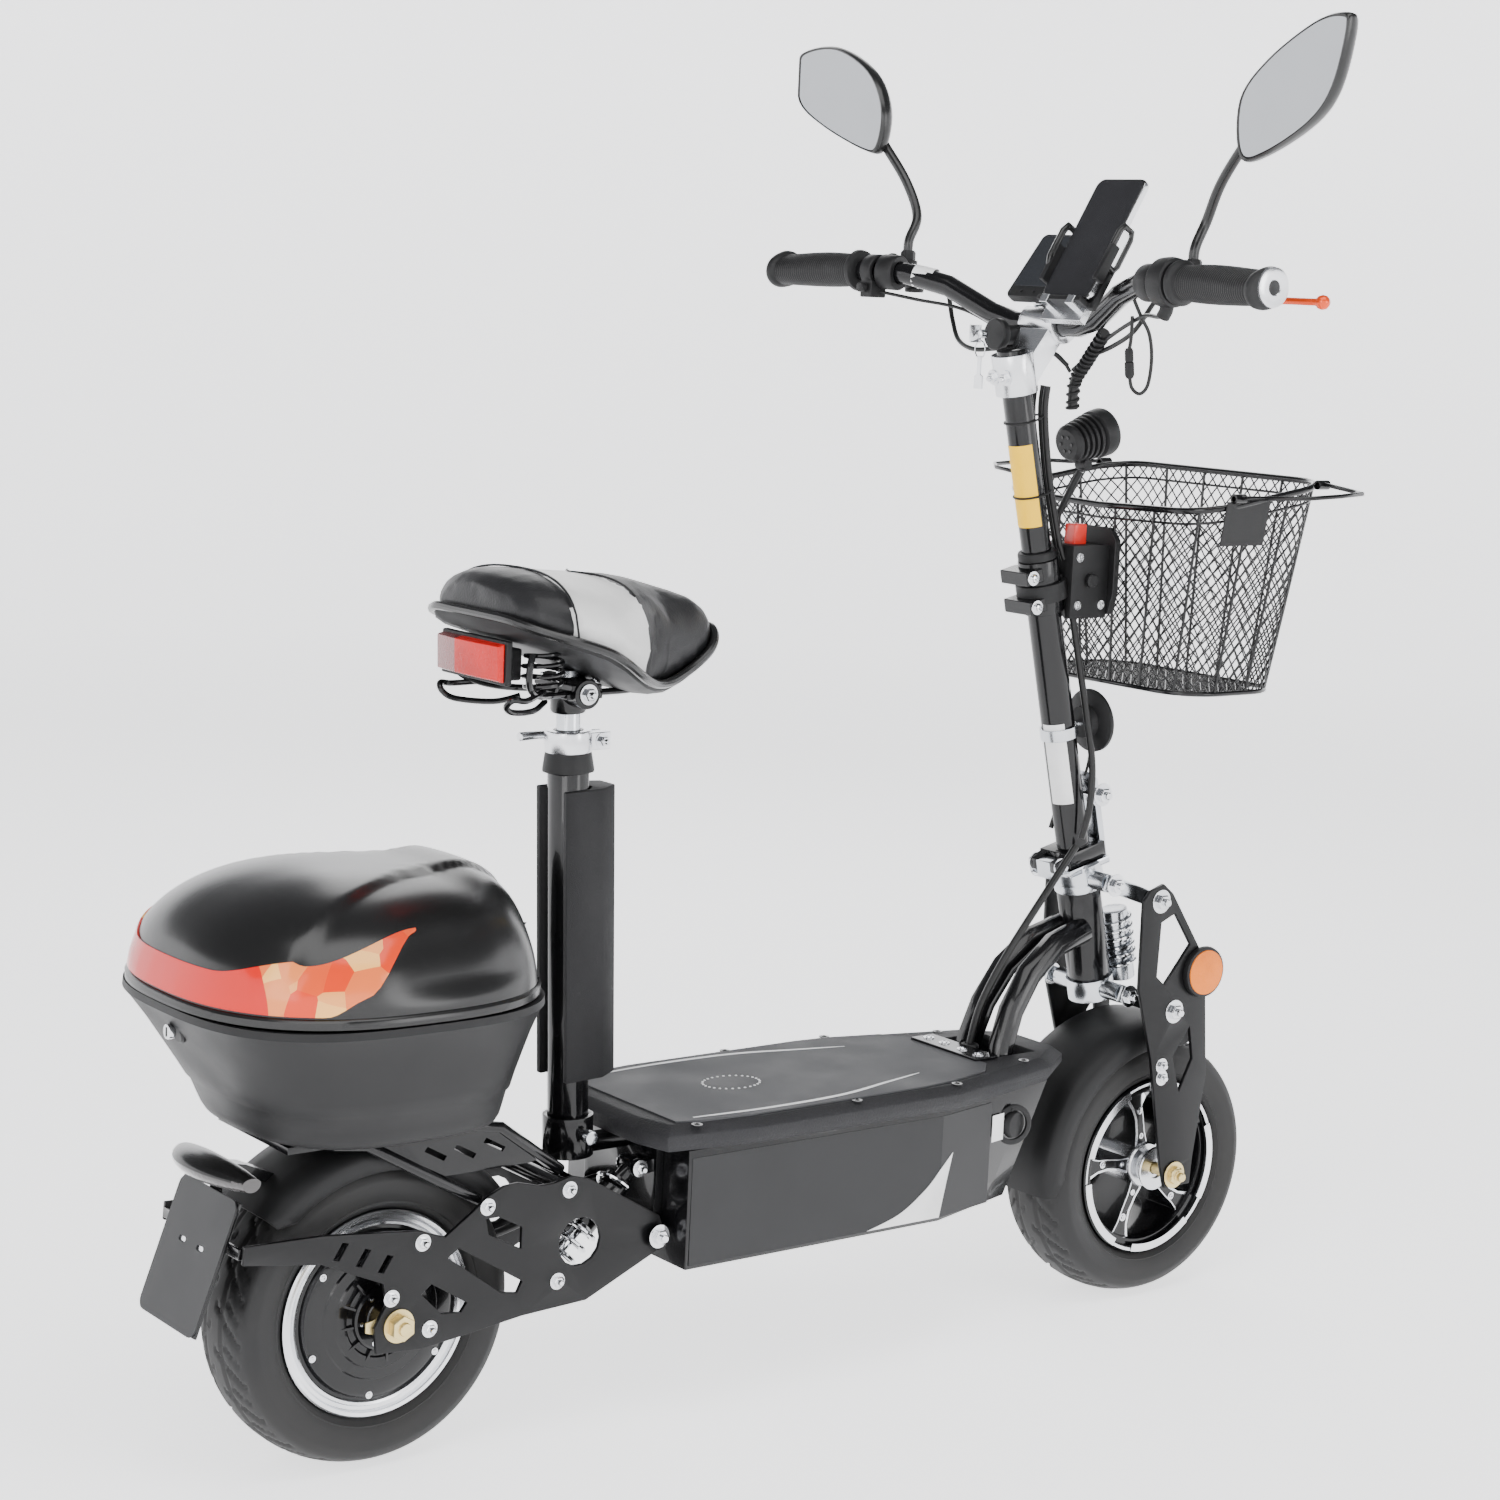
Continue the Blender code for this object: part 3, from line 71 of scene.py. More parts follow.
# ---------------------------------------------------------------- camera, light, floor
def build_stage():
    yaw, pitch, roll = radians(52.5199), radians(8.7139), radians(2.5336)
    ahead = Vector((cos(yaw) * cos(pitch), sin(yaw) * cos(pitch), -sin(pitch)))
    side = Vector((sin(yaw), -cos(yaw), 0.0))
    up = side.cross(ahead)
    right = side * cos(roll) + up * sin(roll)
    top = up * cos(roll) - side * sin(roll)
    data = bpy.data.cameras.new("view")
    data.lens, data.sensor_width = 73.943, 36.0
    data.clip_end = 60.0
    camera = bpy.data.objects.new("view", data)
    place = Matrix((right, top, -ahead)).transposed().to_4x4()
    place.translation = Vector((-1.3261, -2.2642, 1.0448)) + SHIFT
    camera.matrix_world = place
    bpy.context.scene.collection.objects.link(camera)
    bpy.context.scene.camera = camera
    world = bpy.data.worlds.new("studio")
    world.use_nodes = True
    world.node_tree.nodes["Background"].inputs["Color"].default_value = (0.93, 0.95, 1.0, 1.0)
    world.node_tree.nodes["Background"].inputs["Strength"].default_value = 0.25
    bpy.context.scene.world = world
    lamps = [("top_box", (-0.4, -0.9, 2.9), (0.0, 0.0, 0.5), 2.6, 1.5, 44),
        ("key_box", (-2.6, -1.4, 2.0), (-0.2, 0.0, 0.5), 1.3, 1.8, 30),
        ("side_box", (0.9, -2.9, 1.5), (0.1, 0.0, 0.6), 1.0, 1.6, 20),
        ("back_box", (1.6, 2.2, 2.2), (0.0, 0.0, 0.6), 1.8, 1.5, 24)]
    for name, spot, aim, wide, tall, watts in lamps:
        lamp = bpy.data.lights.new(name, "AREA")
        lamp.shape, lamp.size, lamp.size_y, lamp.energy = "RECTANGLE", wide, tall, watts
        obj = bpy.data.objects.new(name, lamp)
        obj.location = spot
        obj.rotation_euler = (Vector(aim) - Vector(spot)).to_track_quat("-Z", "Y").to_euler()
        bpy.context.scene.collection.objects.link(obj)
    bowl = [(0.0, -0.0005), (6.0, -0.0005), (7.2, 0.16), (8.1, 0.75), (8.6, 1.8), (8.8, 3.6)]
    sides = 72
    verts = [(r * cos(2 * pi * k / sides), r * sin(2 * pi * k / sides), z) for r,
        z in bowl[1:] for k in range(sides)]
    faces = [tuple(range(sides))]
    for row in range(len(bowl) - 2):
        faces += [(row * sides + k, (row + 1) * sides + k, (row + 1) * sides + (k + 1) % sides,
            row * sides + (k + 1) % sides) for k in range(sides)]
    mesh = bpy.data.meshes.new("floor")
    mesh.from_pydata(verts, [], faces)
    mesh.shade_smooth()
    floor = bpy.data.objects.new("floor", mesh)
    floor.data.materials.append(surface("studio_floor", (0.94, 0.94, 0.95), 0.85, scale=30.0, grain=0.0,
        spread=0.004, glow=1.6, shine=0.0))
    bpy.context.scene.collection.objects.link(floor)


# ---------------------------------------------------------------- materials
def surface(name, colour, rough, metal=0.0, grain=0.1, scale=900.0, kind="noise", spread=0.12, coat=0.0,
        rough_spread=0.15, stretch=(1.0, 1.0, 1.0), second=None, split=None, glow=0.0, shine=0.5):
    """A Principled material with a fine bump, and colour and gloss that drift over the surface."""
    found = bpy.data.materials.get(name)
    if found:
        return found
    material = bpy.data.materials.new(name)
    material.use_nodes = True
    tree = material.node_tree
    shader = tree.nodes["Principled BSDF"]
    new, link = tree.nodes.new, tree.links.new
    coords = new("ShaderNodeTexCoord")
    mapping = new("ShaderNodeMapping")
    mapping.inputs["Scale"].default_value = stretch
    link(coords.outputs["Object"], mapping.inputs["Vector"])
    if kind in ("leather", "cells", "facets_and_painted_glints"):
        fine = new("ShaderNodeTexVoronoi")
        fine.feature = {"leather": "SMOOTH_F1", "cells": "F1", "facets_and_painted_glints": "F1"}[kind]
        fine.distance = "CHEBYCHEV" if kind == "cells" else "EUCLIDEAN"
        height = fine.outputs["Distance"]
    else:
        fine = new("ShaderNodeTexNoise")
        fine.inputs["Detail"].default_value = 3.0
        height = fine.outputs["Fac"]
    fine.inputs["Scale"].default_value = scale
    link(mapping.outputs["Vector"], fine.inputs["Vector"])
    bump = new("ShaderNodeBump")
    bump.inputs["Strength"].default_value = grain
    bump.inputs["Distance"].default_value = 0.0006
    link(height, bump.inputs["Height"])
    link(bump.outputs["Normal"], shader.inputs["Normal"])
    broad = new("ShaderNodeTexNoise")
    broad.inputs["Scale"].default_value = 14.0
    broad.inputs["Detail"].default_value = 5.0
    link(coords.outputs["Object"], broad.inputs["Vector"])
    ramp = new("ShaderNodeValToRGB")
    low = [max(c * (1.0 - spread), 0.0) for c in colour]
    high = [min(c * (1.0 + spread) + 0.4 * spread * 0.01, 1.0) for c in (second or colour)]
    ramp.color_ramp.elements[0].color, ramp.color_ramp.elements[1].color = (*low, 1.0), (*high, 1.0)
    ramp.color_ramp.elements[0].position, ramp.color_ramp.elements[1].position = 0.35, 0.68
    # for the facets kind the bump is real facet relief, but the colour steps from cell to cell between the
    # two colours: painted glints of the lens's inner reflector facets
    tint = fine.outputs["Color"] if kind == "facets_and_painted_glints" else broad.outputs["Fac"]
    link(tint, ramp.inputs["Fac"])
    link(ramp.outputs["Color"], shader.inputs["Base Color"])
    gloss = new("ShaderNodeMapRange")
    gloss.inputs["From Min"].default_value, gloss.inputs["From Max"].default_value = 0.3, 0.7
    gloss.inputs["To Min"].default_value = max(rough * (1.0 - rough_spread), 0.01)
    gloss.inputs["To Max"].default_value = min(rough * (1.0 + rough_spread), 1.0)
    link(broad.outputs["Fac"], gloss.inputs["Value"])
    link(gloss.outputs["Result"], shader.inputs["Roughness"])
    shader.inputs["Metallic"].default_value = metal
    shader.inputs["Specular IOR Level"].default_value = shine
    shader.inputs["Coat Weight"].default_value = coat
    shader.inputs["Coat Roughness"].default_value = 0.04
    if glow:
        link(ramp.outputs["Color"], shader.inputs["Emission Color"])
        shader.inputs["Emission Strength"].default_value = glow
    if split:                       # a second colour beyond a plane: (axis, position, colour)
        axis, position, other = split
        parts = new("ShaderNodeSeparateXYZ")
        link(coords.outputs["Object"], parts.inputs["Vector"])
        test = new("ShaderNodeMath")
        test.operation = "LESS_THAN"
        test.inputs[1].default_value = position
        link(parts.outputs[axis], test.inputs[0])
        mix = new("ShaderNodeMixRGB")
        mix.inputs["Color2"].default_value = (*other, 1.0)
        link(test.outputs["Value"], mix.inputs["Fac"])
        link(ramp.outputs["Color"], mix.inputs["Color1"])
        link(mix.outputs["Color"], shader.inputs["Base Color"])
    return material


PAINT = surface("powder_coat_black", (0.003, 0.003, 0.0035), 0.2, grain=0.05, scale=700.0, coat=0.35,
    shine=0.25)
PLATE = surface("plate_black", (0.005, 0.005, 0.0055), 0.34, grain=0.07, scale=1100.0, shine=0.28)
MATTE = surface("moulded_black", (0.0085, 0.0085, 0.009), 0.5, grain=0.22, scale=1500.0, shine=0.3)
TEXTURED = surface("textured_black", (0.012, 0.012, 0.013), 0.62, grain=0.45, scale=1300.0, kind="leather",
    shine=0.3)
GLOSS = surface("gloss_black", (0.0022, 0.0022, 0.0026), 0.045, grain=0.004, scale=300.0, coat=0.6, shine=0.3)
DECK = surface("deck_plastic", (0.017, 0.017, 0.019), 0.66, grain=0.9, scale=620.0, kind="leather",
    shine=0.35)
MAT = surface("deck_mat", (0.05, 0.051, 0.055), 0.62, grain=0.3, scale=1700.0, kind="leather", shine=0.35)
WHITE = surface("white_print", (0.8, 0.8, 0.8), 0.42, grain=0.1, scale=1500.0)
TYRE = surface("tyre_rubber", (0.012, 0.012, 0.0125), 0.58, grain=0.2, scale=900.0,
    second=(0.018, 0.0175, 0.017), shine=0.35)
RUBBER = surface("soft_rubber", (0.008, 0.008, 0.0085), 0.52, grain=0.3, scale=1800.0, kind="leather",
    shine=0.35)
ZINC = surface("bright_zinc", (0.6, 0.62, 0.65), 0.22, 1.0, grain=0.06, scale=500.0)
ALLOY = surface("machined_alloy", (0.76, 0.77, 0.79), 0.24, 1.0, grain=0.12, scale=260.0,
    stretch=(1.0, 8.0, 1.0))
CHROME = surface("bolt_chrome", (0.78, 0.79, 0.81), 0.12, 1.0, grain=0.03, scale=400.0)
GOLD = surface("gold_zinc", (0.72, 0.52, 0.2), 0.27, 1.0, grain=0.05, scale=400.0, second=(0.7, 0.6, 0.34))
VINYL = surface("black_vinyl", (0.01, 0.01, 0.011), 0.42, grain=0.32, scale=620.0, kind="leather", shine=0.35)
SILVER_VINYL = surface("silver_vinyl", (0.66, 0.66, 0.65), 0.38, grain=0.35, scale=420.0, kind="leather",
    spread=0.05)
RED_LENS = surface("red_lens", (0.6, 0.006, 0.004), 0.22, grain=0.6, scale=330.0, kind="cells", coat=0.15,
    spread=0.25, shine=0.25)
DARK_LENS = surface("dark_red_lens", (0.2, 0.01, 0.01), 0.18, grain=0.5, scale=500.0, kind="cells", coat=1.0)
AMBER = surface("amber_lens", (0.9, 0.2, 0.004), 0.24, grain=0.6, scale=420.0, kind="cells", coat=0.1,
    spread=0.2, shine=0.25)
# tail lens: red at the rear and orange ahead are its own two colours; the paler orange cells over the orange
# part are painted glints
TAIL_LENS = surface("tail_lens", (0.86, 0.055, 0.01), 0.16, grain=0.5, scale=34.0, kind="facets_and_painted_glints", coat=0.15,
    shine=0.3, stretch=(1.0, 1.6, 0.8), second=(0.98, 0.44, 0.12), split=("X", -0.598, (0.66, 0.012, 0.006)))
SMOKE = surface("smoked_lens", (0.03, 0.026, 0.026), 0.12, grain=0.8, scale=300.0, kind="cells", coat=1.0)
ORANGE = surface("anodised_orange", (0.85, 0.075, 0.006), 0.3, 0.35, grain=0.04, scale=400.0, coat=0.1)
RED = surface("red_button", (0.72, 0.02, 0.01), 0.32, grain=0.08, scale=700.0, coat=0.2)
YELLOW = surface("yellow_reflector", (0.95, 0.56, 0.012), 0.34, grain=0.3, scale=620.0, kind="cells",
    spread=0.06, shine=0.2)
CLEAR = surface("mirror_glass", (0.33, 0.34, 0.355), 0.035, 0.85, grain=0.0, scale=300.0, spread=0.02)
SCREEN = surface("screen_glass", (0.01, 0.012, 0.016), 0.05, grain=0.0, scale=300.0, coat=1.0)
PLATE_GREY = surface("number_plate_grey", (0.013, 0.0133, 0.0142), 0.4, grain=0.08, scale=1200.0, shine=0.35)
STICKER = surface("side_film", (0.018, 0.018, 0.02), 0.22, grain=0.02, scale=900.0, shine=0.4)
CABLE = surface("cable_jacket", (0.006, 0.006, 0.006), 0.36, grain=0.1, scale=1500.0, shine=0.35)


# ---------------------------------------------------------------- mesh helpers
def merge(*shapes):
    verts, faces = [], []
    for some_verts, some_faces in shapes:
        base = len(verts)
        verts += [Vector(v) for v in some_verts]
        faces += [tuple(i + base for i in face) for face in some_faces]
    return verts, faces


def piece(name, shape, material, body, bevel=0.0, sub=0, angle=34, segments=2, stands=(), pick=None):
    """A mesh object drawn from the rear axle, riding on a body."""
    mesh = bpy.data.meshes.new(name)
    mesh.from_pydata([tuple(Vector(v) + SHIFT) for v in shape[0]], [], shape[1])
    bm = bmesh.new()
    bm.from_mesh(mesh)
    bmesh.ops.remove_doubles(bm, verts=bm.verts, dist=2e-6)
    bmesh.ops.recalc_face_normals(bm, faces=bm.faces)
    if pick:
        for face in bm.faces:
            face.material_index = pick(face.calc_center_median() - SHIFT, face.normal)
    bm.to_mesh(mesh)
    bm.free()
    for each in material if isinstance(material, (list, tuple)) else [material]:
        mesh.materials.append(each)
    mesh.shade_smooth()
    mesh.set_sharp_from_angle(angle=radians(angle))
    obj = bpy.data.objects.new(name, mesh)
    bpy.context.scene.collection.objects.link(obj)
    if bevel:
        add_bevel(obj, bevel, segments, angle)
    if sub:
        modifier = obj.modifiers.new("smooth", "SUBSURF")
        modifier.levels = modifier.render_levels = sub
    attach(obj, body)
    if stands:
        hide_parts(*stands)
    return obj


def add_bevel(obj, width, segments=2, angle=34):
    modifier = obj.modifiers.new("edge", "BEVEL")
    modifier.width, modifier.segments = width, segments
    modifier.limit_method, modifier.angle_limit = "ANGLE", radians(angle)
    modifier.harden_normals = True


def finish_node(names, material, bevel=0.0006, angle=34):
    """Gives CAD nodes their material and softened edges."""
    for name in names.split():
        obj = NODES[name]
        obj.data.materials.clear()
        obj.data.materials.append(material)
        obj.data.shade_smooth()
        weld = obj.modifiers.new("weld", "WELD")
        weld.merge_threshold = 0.00001
        if bevel:
            add_bevel(obj, bevel, 2, angle)
        else:
            split = obj.modifiers.new("split", "EDGE_SPLIT")
            split.split_angle = radians(angle)


def quads(rows, count, wrap=True, loop=False):
    faces = []
    for row in range(rows if loop else rows - 1):
        a, b = row * count, ((row + 1) % rows) * count
        for k in range(count if wrap else count - 1):
            n = (k + 1) % count
            faces.append((a + k, a + n, b + n, b + k))
    return faces


def loft(rings, caps=True, loop=False):
    verts = [Vector(p) for ring in rings for p in ring]
    faces = quads(len(rings), len(rings[0]), True, loop)
    if caps and not loop:
        last = (len(rings) - 1) * len(rings[0])
        faces += [tuple(range(len(rings[0]))), tuple(last + k for k in range(len(rings[0])))]
    return verts, faces


def frame_of(axis):
    axis = Vector(axis).normalized()
    side = (Z if abs(axis.z) < 0.9 else X).cross(axis).normalized()
    return axis, side, axis.cross(side)


def ring(centre, axis, radius, sides, turn=0.0):
    axis, side, other = frame_of(axis)
    angles = [turn + 2 * pi * k / sides for k in range(sides)]
    return [Vector(centre) + side * (radius * cos(a)) + other * (radius * sin(a)) for a in angles]


def lathe(profile, centre, axis=Y, sides=48, loop=False, turn=0.0):
    """Turned about axis from (radius, along) pairs; loop closes the section into a ring."""
    unit = Vector(axis).normalized()
    rings = [ring(Vector(centre) + unit * along, axis, max(r, 1e-5), sides, turn) for r, along in profile]
    return loft(rings, caps=not loop, loop=loop)


def hoop(inner, outer, low, high, *place, **extra):
    """A ring of square section round an axis: place gives its origin, axis and number of sides."""
    return lathe([(inner, low), (outer, low), (outer, high), (inner, high)], *place, loop=True, **extra)


def disc(radius, low, high, *place, **extra):
    """A solid round pin or washer along an axis."""
    return lathe([(0.0, low), (radius, low), (radius, high), (0.0, high)], *place, **extra)


def curve(points, per=6, closed=False):
    """A Catmull-Rom curve through points."""
    points = [Vector(p) for p in points]
    count = len(points)
    get = (lambda k: points[k % count]) if closed else (lambda k: points[min(max(k, 0), count - 1)])
    out = []
    for k in range(count if closed else count - 1):
        a, b, c, d = get(k - 1), get(k), get(k + 1), get(k + 2)
        for j in range(per):
            t = j / per
            out.append(0.5 * ((2 * b) + (c - a) * t + (2 * a - 5 * b + 4 * c - d) * t * t
                + (3 * b - a - 3 * c + d) * t ** 3))
    return out if closed else out + [points[-1]]


def sweep(points, radius, sides=10, closed=False):
    points = [Vector(p) for p in points]
    count = len(points)
    side = None
    rings = []
    for k, point in enumerate(points):
        before = points[k - 1] if closed or k else points[0]
        after = points[(k + 1) % count] if closed or k < count - 1 else points[-1]
        tangent = (after - before).normalized()
        side = side or frame_of(tangent)[1]
        side = (side - tangent * side.dot(tangent)).normalized()
        other = tangent.cross(side)
        size = radius(k / (count - 1)) if callable(radius) else radius
        angles = [2 * pi * j / sides for j in range(sides)]
        rings.append([point + side * (size * cos(a)) + other * (size * sin(a)) for a in angles])
    return loft(rings, caps=not closed, loop=closed)


def box(low, high):
    (x0, y0, z0), (x1, y1, z1) = low, high
    return loft([[(x, y0, z0), (x, y1, z0), (x, y1, z1), (x, y0, z1)] for x in (x0, x1)])


def plate(outline, low, high, holes=(), place=None):
    """A plate cut to a flat outline with holes; place maps (u, v, height) to a point."""
    bm = bmesh.new()
    edges = []
    for points in (outline, *holes):
        loop = [bm.verts.new((u, v, low)) for u, v in points]
        edges += [bm.edges.new((loop[k - 1], loop[k])) for k in range(len(loop))]
    bmesh.ops.triangle_fill(bm, use_beauty=True, use_dissolve=False, edges=edges)
    made = bmesh.ops.extrude_face_region(bm, geom=list(bm.faces))
    bmesh.ops.translate(bm, verts=[g for g in made["geom"] if isinstance(g, bmesh.types.BMVert)],
        vec=(0, 0, high - low))
    bm.verts.index_update()
    place = place or (lambda u, v, h: Vector((u, h, v)))
    verts = [place(*v.co) for v in bm.verts]
    faces = [tuple(v.index for v in f.verts) for f in bm.faces]
    bm.free()
    return verts, faces


def circle2(u, v, radius, sides=16, start=0.0, end=360.0):
    full = abs(end - start) > 359
    steps = sides if full else sides + 1
    return [(u + radius * cos(radians(start + (end - start) * k / sides)),
        v + radius * sin(radians(start + (end - start) * k / sides))) for k in range(steps)]


def bolt(spot, axis, radius=0.0048, head=0.0042, kind="hex"):
    """A washer and a hex or socket head, standing on spot."""
    axis = Vector(axis).normalized()
    spot = Vector(spot)
    washer = lathe([(0.0, -0.0002), (radius * 1.55, 0.0), (radius * 1.55, 0.0009), (0.0, 0.001)], spot, axis,
        20)
    if kind == "hex":
        body = lathe([(radius * 1.02, 0.0008), (radius * 1.02, head * 0.82), (radius * 0.86, head),
            (0.0, head * 1.01)], spot, axis, 6)
        stub = lathe([(radius * 0.52, head * 0.8), (radius * 0.52, head * 1.7), (radius * 0.4, head * 1.9),
            (0.0, head * 1.9)], spot, axis, 12)
        return merge(washer, body, stub)
    dome = lathe([(radius, 0.0008), (radius, head * 0.5), (radius * 0.8, head * 0.9), (radius * 0.48, head),
        (radius * 0.46, head * 0.45), (0.0, head * 0.45)], spot, axis, 18)
    return merge(washer, dome)


# ---------------------------------------------------------------- wheels
def tyre(name, x, body, node):
    """A street tyre with ribs on its wall and curved sipes cut into the crown."""
    half = [(0.0934, 0.033), (0.095, 0.0372), (0.0985, 0.0395), (0.1, 0.0412), (0.1015, 0.0408),
        (0.106, 0.043), (0.112, 0.0446), (0.118, 0.045), (0.1205, 0.0452), (0.1225, 0.0444), (0.1262, 0.0428),
        (0.129, 0.0408)]
    crown = [(-0.0385 + 0.077 * k / 36) for k in range(37)]
    sides, pitch = 264, 22
    rings = []
    for r, y in half:
        rings.append([(r, y, 0.0)] * sides)
    for y in reversed(crown):
        r = 0.14 - 0.0092 * (abs(y) / 0.0385) ** 2.4
        row = []
        for k in range(sides):
            reach = abs(y) / 0.0385
            wave = (k * pitch / sides + (0.5 if y > 0 else 0.0) + 0.95 * reach ** 1.4) % 1.0
            sipe = 0.1 < reach < 0.93 and wave < 0.15
            short = 0.45 < reach < 0.86 and 0.52 < wave < 0.6
            ring_cut = 0.33 < reach < 0.4
            row.append((r, y, 0.0019 if sipe or short else (0.0013 if ring_cut else 0.0)))
        rings.append(row)
    for r, y in reversed(half):
        rings.append([(r, -y, 0.0)] * sides)
    rings.append([(0.0934, -0.03, 0.0)] * sides)
    rings.append([(0.0934, 0.03, 0.0)] * sides)
    centre = Vector((x, 0, WHEEL_R))
    shaped = [[centre + Vector(((r - cut) * -sin(2 * pi * k / sides), y,
        (r - cut) * -cos(2 * pi * k / sides))) for k, (r, y, cut) in enumerate(row)] for row in rings]
    piece(name, loft(shaped, loop=True), TYRE, body, angle=40, stands=(node,))


def spoke_ring(centre, radius, y, axis, count, shape_of, turn=0.0):
    parts = []
    for k in range(count):
        a = turn + 2 * pi * k / count
        parts.append(shape_of(centre + Vector((radius * cos(a), y, radius * sin(a))), axis))
    return merge(*parts)


def rear_wheel():
    centre = Vector((0, 0, WHEEL_R))
    half = [(0.0068, 0.05), (0.0165, 0.0512), (0.0175, 0.05), (0.027, 0.0505), (0.029, 0.049), (0.03, 0.0462),
        (0.035, 0.0455), (0.0365, 0.0468), (0.0455, 0.0468), (0.047, 0.045), (0.056, 0.044), (0.0575, 0.0425),
        (0.07, 0.0418), (0.0735, 0.04), (0.076, 0.0345), (0.079, 0.0338)]
    shell = half + [(0.079, -0.0338)] + [(r, -y) for r, y in reversed(half[:-1])]
    piece("hub_motor_shell", lathe(shell, centre, sides=72, loop=True), PAINT, "rear_wheel", angle=28,
        stands=("rear_hub_motor",))
    rim = [(0.0788, 0.033), (0.08, 0.0362), (0.0822, 0.0372), (0.084, 0.035), (0.0868, 0.0352),
        (0.0885, 0.0392), (0.0915, 0.04), (0.0932, 0.0385), (0.0932, 0.03)]
    for side, tag in ((1, "left"), (-1, "right")):
        ring_profile = [(r, side * y) for r, y in rim] + [(0.079, side * 0.03)]
        piece("rear_rim_" + tag, lathe(ring_profile, centre, sides=96, loop=True), ALLOY, "rear_wheel",
            angle=28)
        out = Vector((0, side, 0))
        screws = spoke_ring(centre, 0.0715, side * 0.0415, out, 6, lambda p,
            n: bolt(p, n, 0.0021, 0.0016, "socket"), 0.4)
        inner = spoke_ring(centre, 0.0232, side * 0.0502, out, 6, lambda p,
            n: bolt(p, n, 0.0016, 0.0012, "socket"), 0.1)
        piece("hub_screws_" + tag, merge(screws, inner), CHROME, "rear_wheel")
        ribs = []
        for k in range(12):
            a = radians(30 * k + 8)
            u, w = Vector((cos(a), 0, sin(a))), Vector((-sin(a), 0, cos(a)))
            base = centre + out * 0.0455
            ribs.append(loft([[base + u * r + w * t * 0.0012 + out * h for t,
                h in ((-1, -0.002), (1, -0.002), (1, top), (-1, top))] for r,
                top in ((0.03, 0.004), (0.035, 0.0028), (0.044, 0.0008))]))
        piece("hub_ribs_" + tag, merge(*ribs), PAINT, "rear_wheel", bevel=0.0003)


def front_wheel():
    centre = Vector((WHEELBASE, 0, WHEEL_R))
    rim = [(0.078, 0.03), (0.08, 0.0345), (0.0845, 0.0352), (0.0868, 0.0345), (0.0885, 0.0392),
        (0.0915, 0.04), (0.0932, 0.0385)]
    section = rim + [(r, -y) for r, y in reversed(rim)]
    piece("front_rim", lathe(section, centre, sides=96, loop=True), [PAINT, ALLOY], "front_wheel_set",
        angle=28, stands=("front_wheel",), pick=lambda p, n: 1 if abs(p.y) > 0.0395 else 0)
    hub = [(0.0068, 0.047), (0.015, 0.047), (0.0165, 0.0455), (0.0165, 0.036), (0.0225, 0.034),
        (0.0245, 0.031), (0.025, 0.026)]
    piece("front_hub", lathe(hub + [(r, -y) for r, y in reversed(hub)], centre, sides=40, loop=True), ALLOY,
        "front_wheel_set", angle=28)
    dark, bright, screws = [], [], []
    for k in range(5):
        a = radians(104 + 72 * k)
        out, side = Vector((cos(a), 0, sin(a))), Vector((-sin(a), 0, cos(a)))
        where = lambda u, v, h, o=out, s=side: centre + o * u + s * v + Y * h
        lead = [(0.0225, 0.0085), (0.036, 0.005), (0.052, 0.0035), (0.066, 0.0062), (0.077, 0.0125),
            (0.08, 0.0185)]
        trail = [(0.0225, -0.0085), (0.036, -0.0075), (0.052, -0.0085), (0.066, -0.0085), (0.077, -0.0105),
            (0.0805, -0.015)]
        dark.append(plate(lead + list(reversed(trail)), -0.03, 0.03, place=where))
        edge = [(r, t - 0.0026 - 0.0012 * (r > 0.07)) for r, t in lead]
        for face in (-1, 1):
            bright.append(plate(lead + list(reversed(edge)), *sorted((face * 0.0298, face * 0.0306)),
                place=where))
            thin = [(r, t + 0.0014) for r, t in trail]
            bright.append(plate(thin + list(reversed(trail)), *sorted((face * 0.0298, face * 0.0306)),
                place=where))
            screws.append(bolt(where(0.06, -0.0035, face * 0.03), Y * face, 0.0026, 0.0022, "socket"))
            screws.append(bolt(where(0.032, -0.0015, face * 0.03), Y * face, 0.002, 0.0016, "socket"))
            arc = []
            for j in range(19):
                t = radians(9 + 54 * j / 18)
                arc.append((t, 0.0838, 0.092))
            low_edge = [(r0 * cos(t), r0 * sin(t)) for t, r0, r1 in arc]
            high_edge = [(r1 * cos(t), r1 * sin(t)) for t, r0, r1 in reversed(arc)]
            bright.append(plate(low_edge + high_edge, *sorted((face * 0.0398, face * 0.0408)), place=where))
    piece("front_spokes", merge(*dark), PAINT, "front_wheel_set", bevel=0.0009)
    piece("front_spoke_faces", merge(*bright), ALLOY, "front_wheel_set", bevel=0.0002)
    piece("front_wheel_screws", merge(*screws), CHROME, "front_wheel_set")
    flange = lathe([(0.011, 0.046), (0.0225, 0.046), (0.0232, 0.047), (0.0232, 0.0485), (0.022, 0.0492),
        (0.011, 0.0492)], centre, -Y, 48, loop=True)
    piece("front_hub_flange", flange, ALLOY, "front_wheel_set", angle=28)
    disc_holes = [circle2(0.04 * cos(radians(30 * k)), 0.04 * sin(radians(30 * k)), 0.003,
        10) for k in range(12)]
    disc_holes += [circle2(0.048 * cos(radians(30 * k + 15)), 0.048 * sin(radians(30 * k + 15)), 0.003,
        10) for k in range(12)]
    disc = plate(circle2(0, 0, 0.0545, 72), 0.05, 0.0518, disc_holes + [circle2(0, 0, 0.017, 24)],
        place=lambda u, v, h: centre + X * u + Z * v + Y * h)
    piece("front_brake_disc", disc, ZINC, "front_wheel_set")
    piece("disc_bolts", spoke_ring(centre, 0.0215, 0.0518, Y, 5, lambda p,
        n: bolt(p, n, 0.0026, 0.0018, "socket")), CHROME, "front_wheel_set")


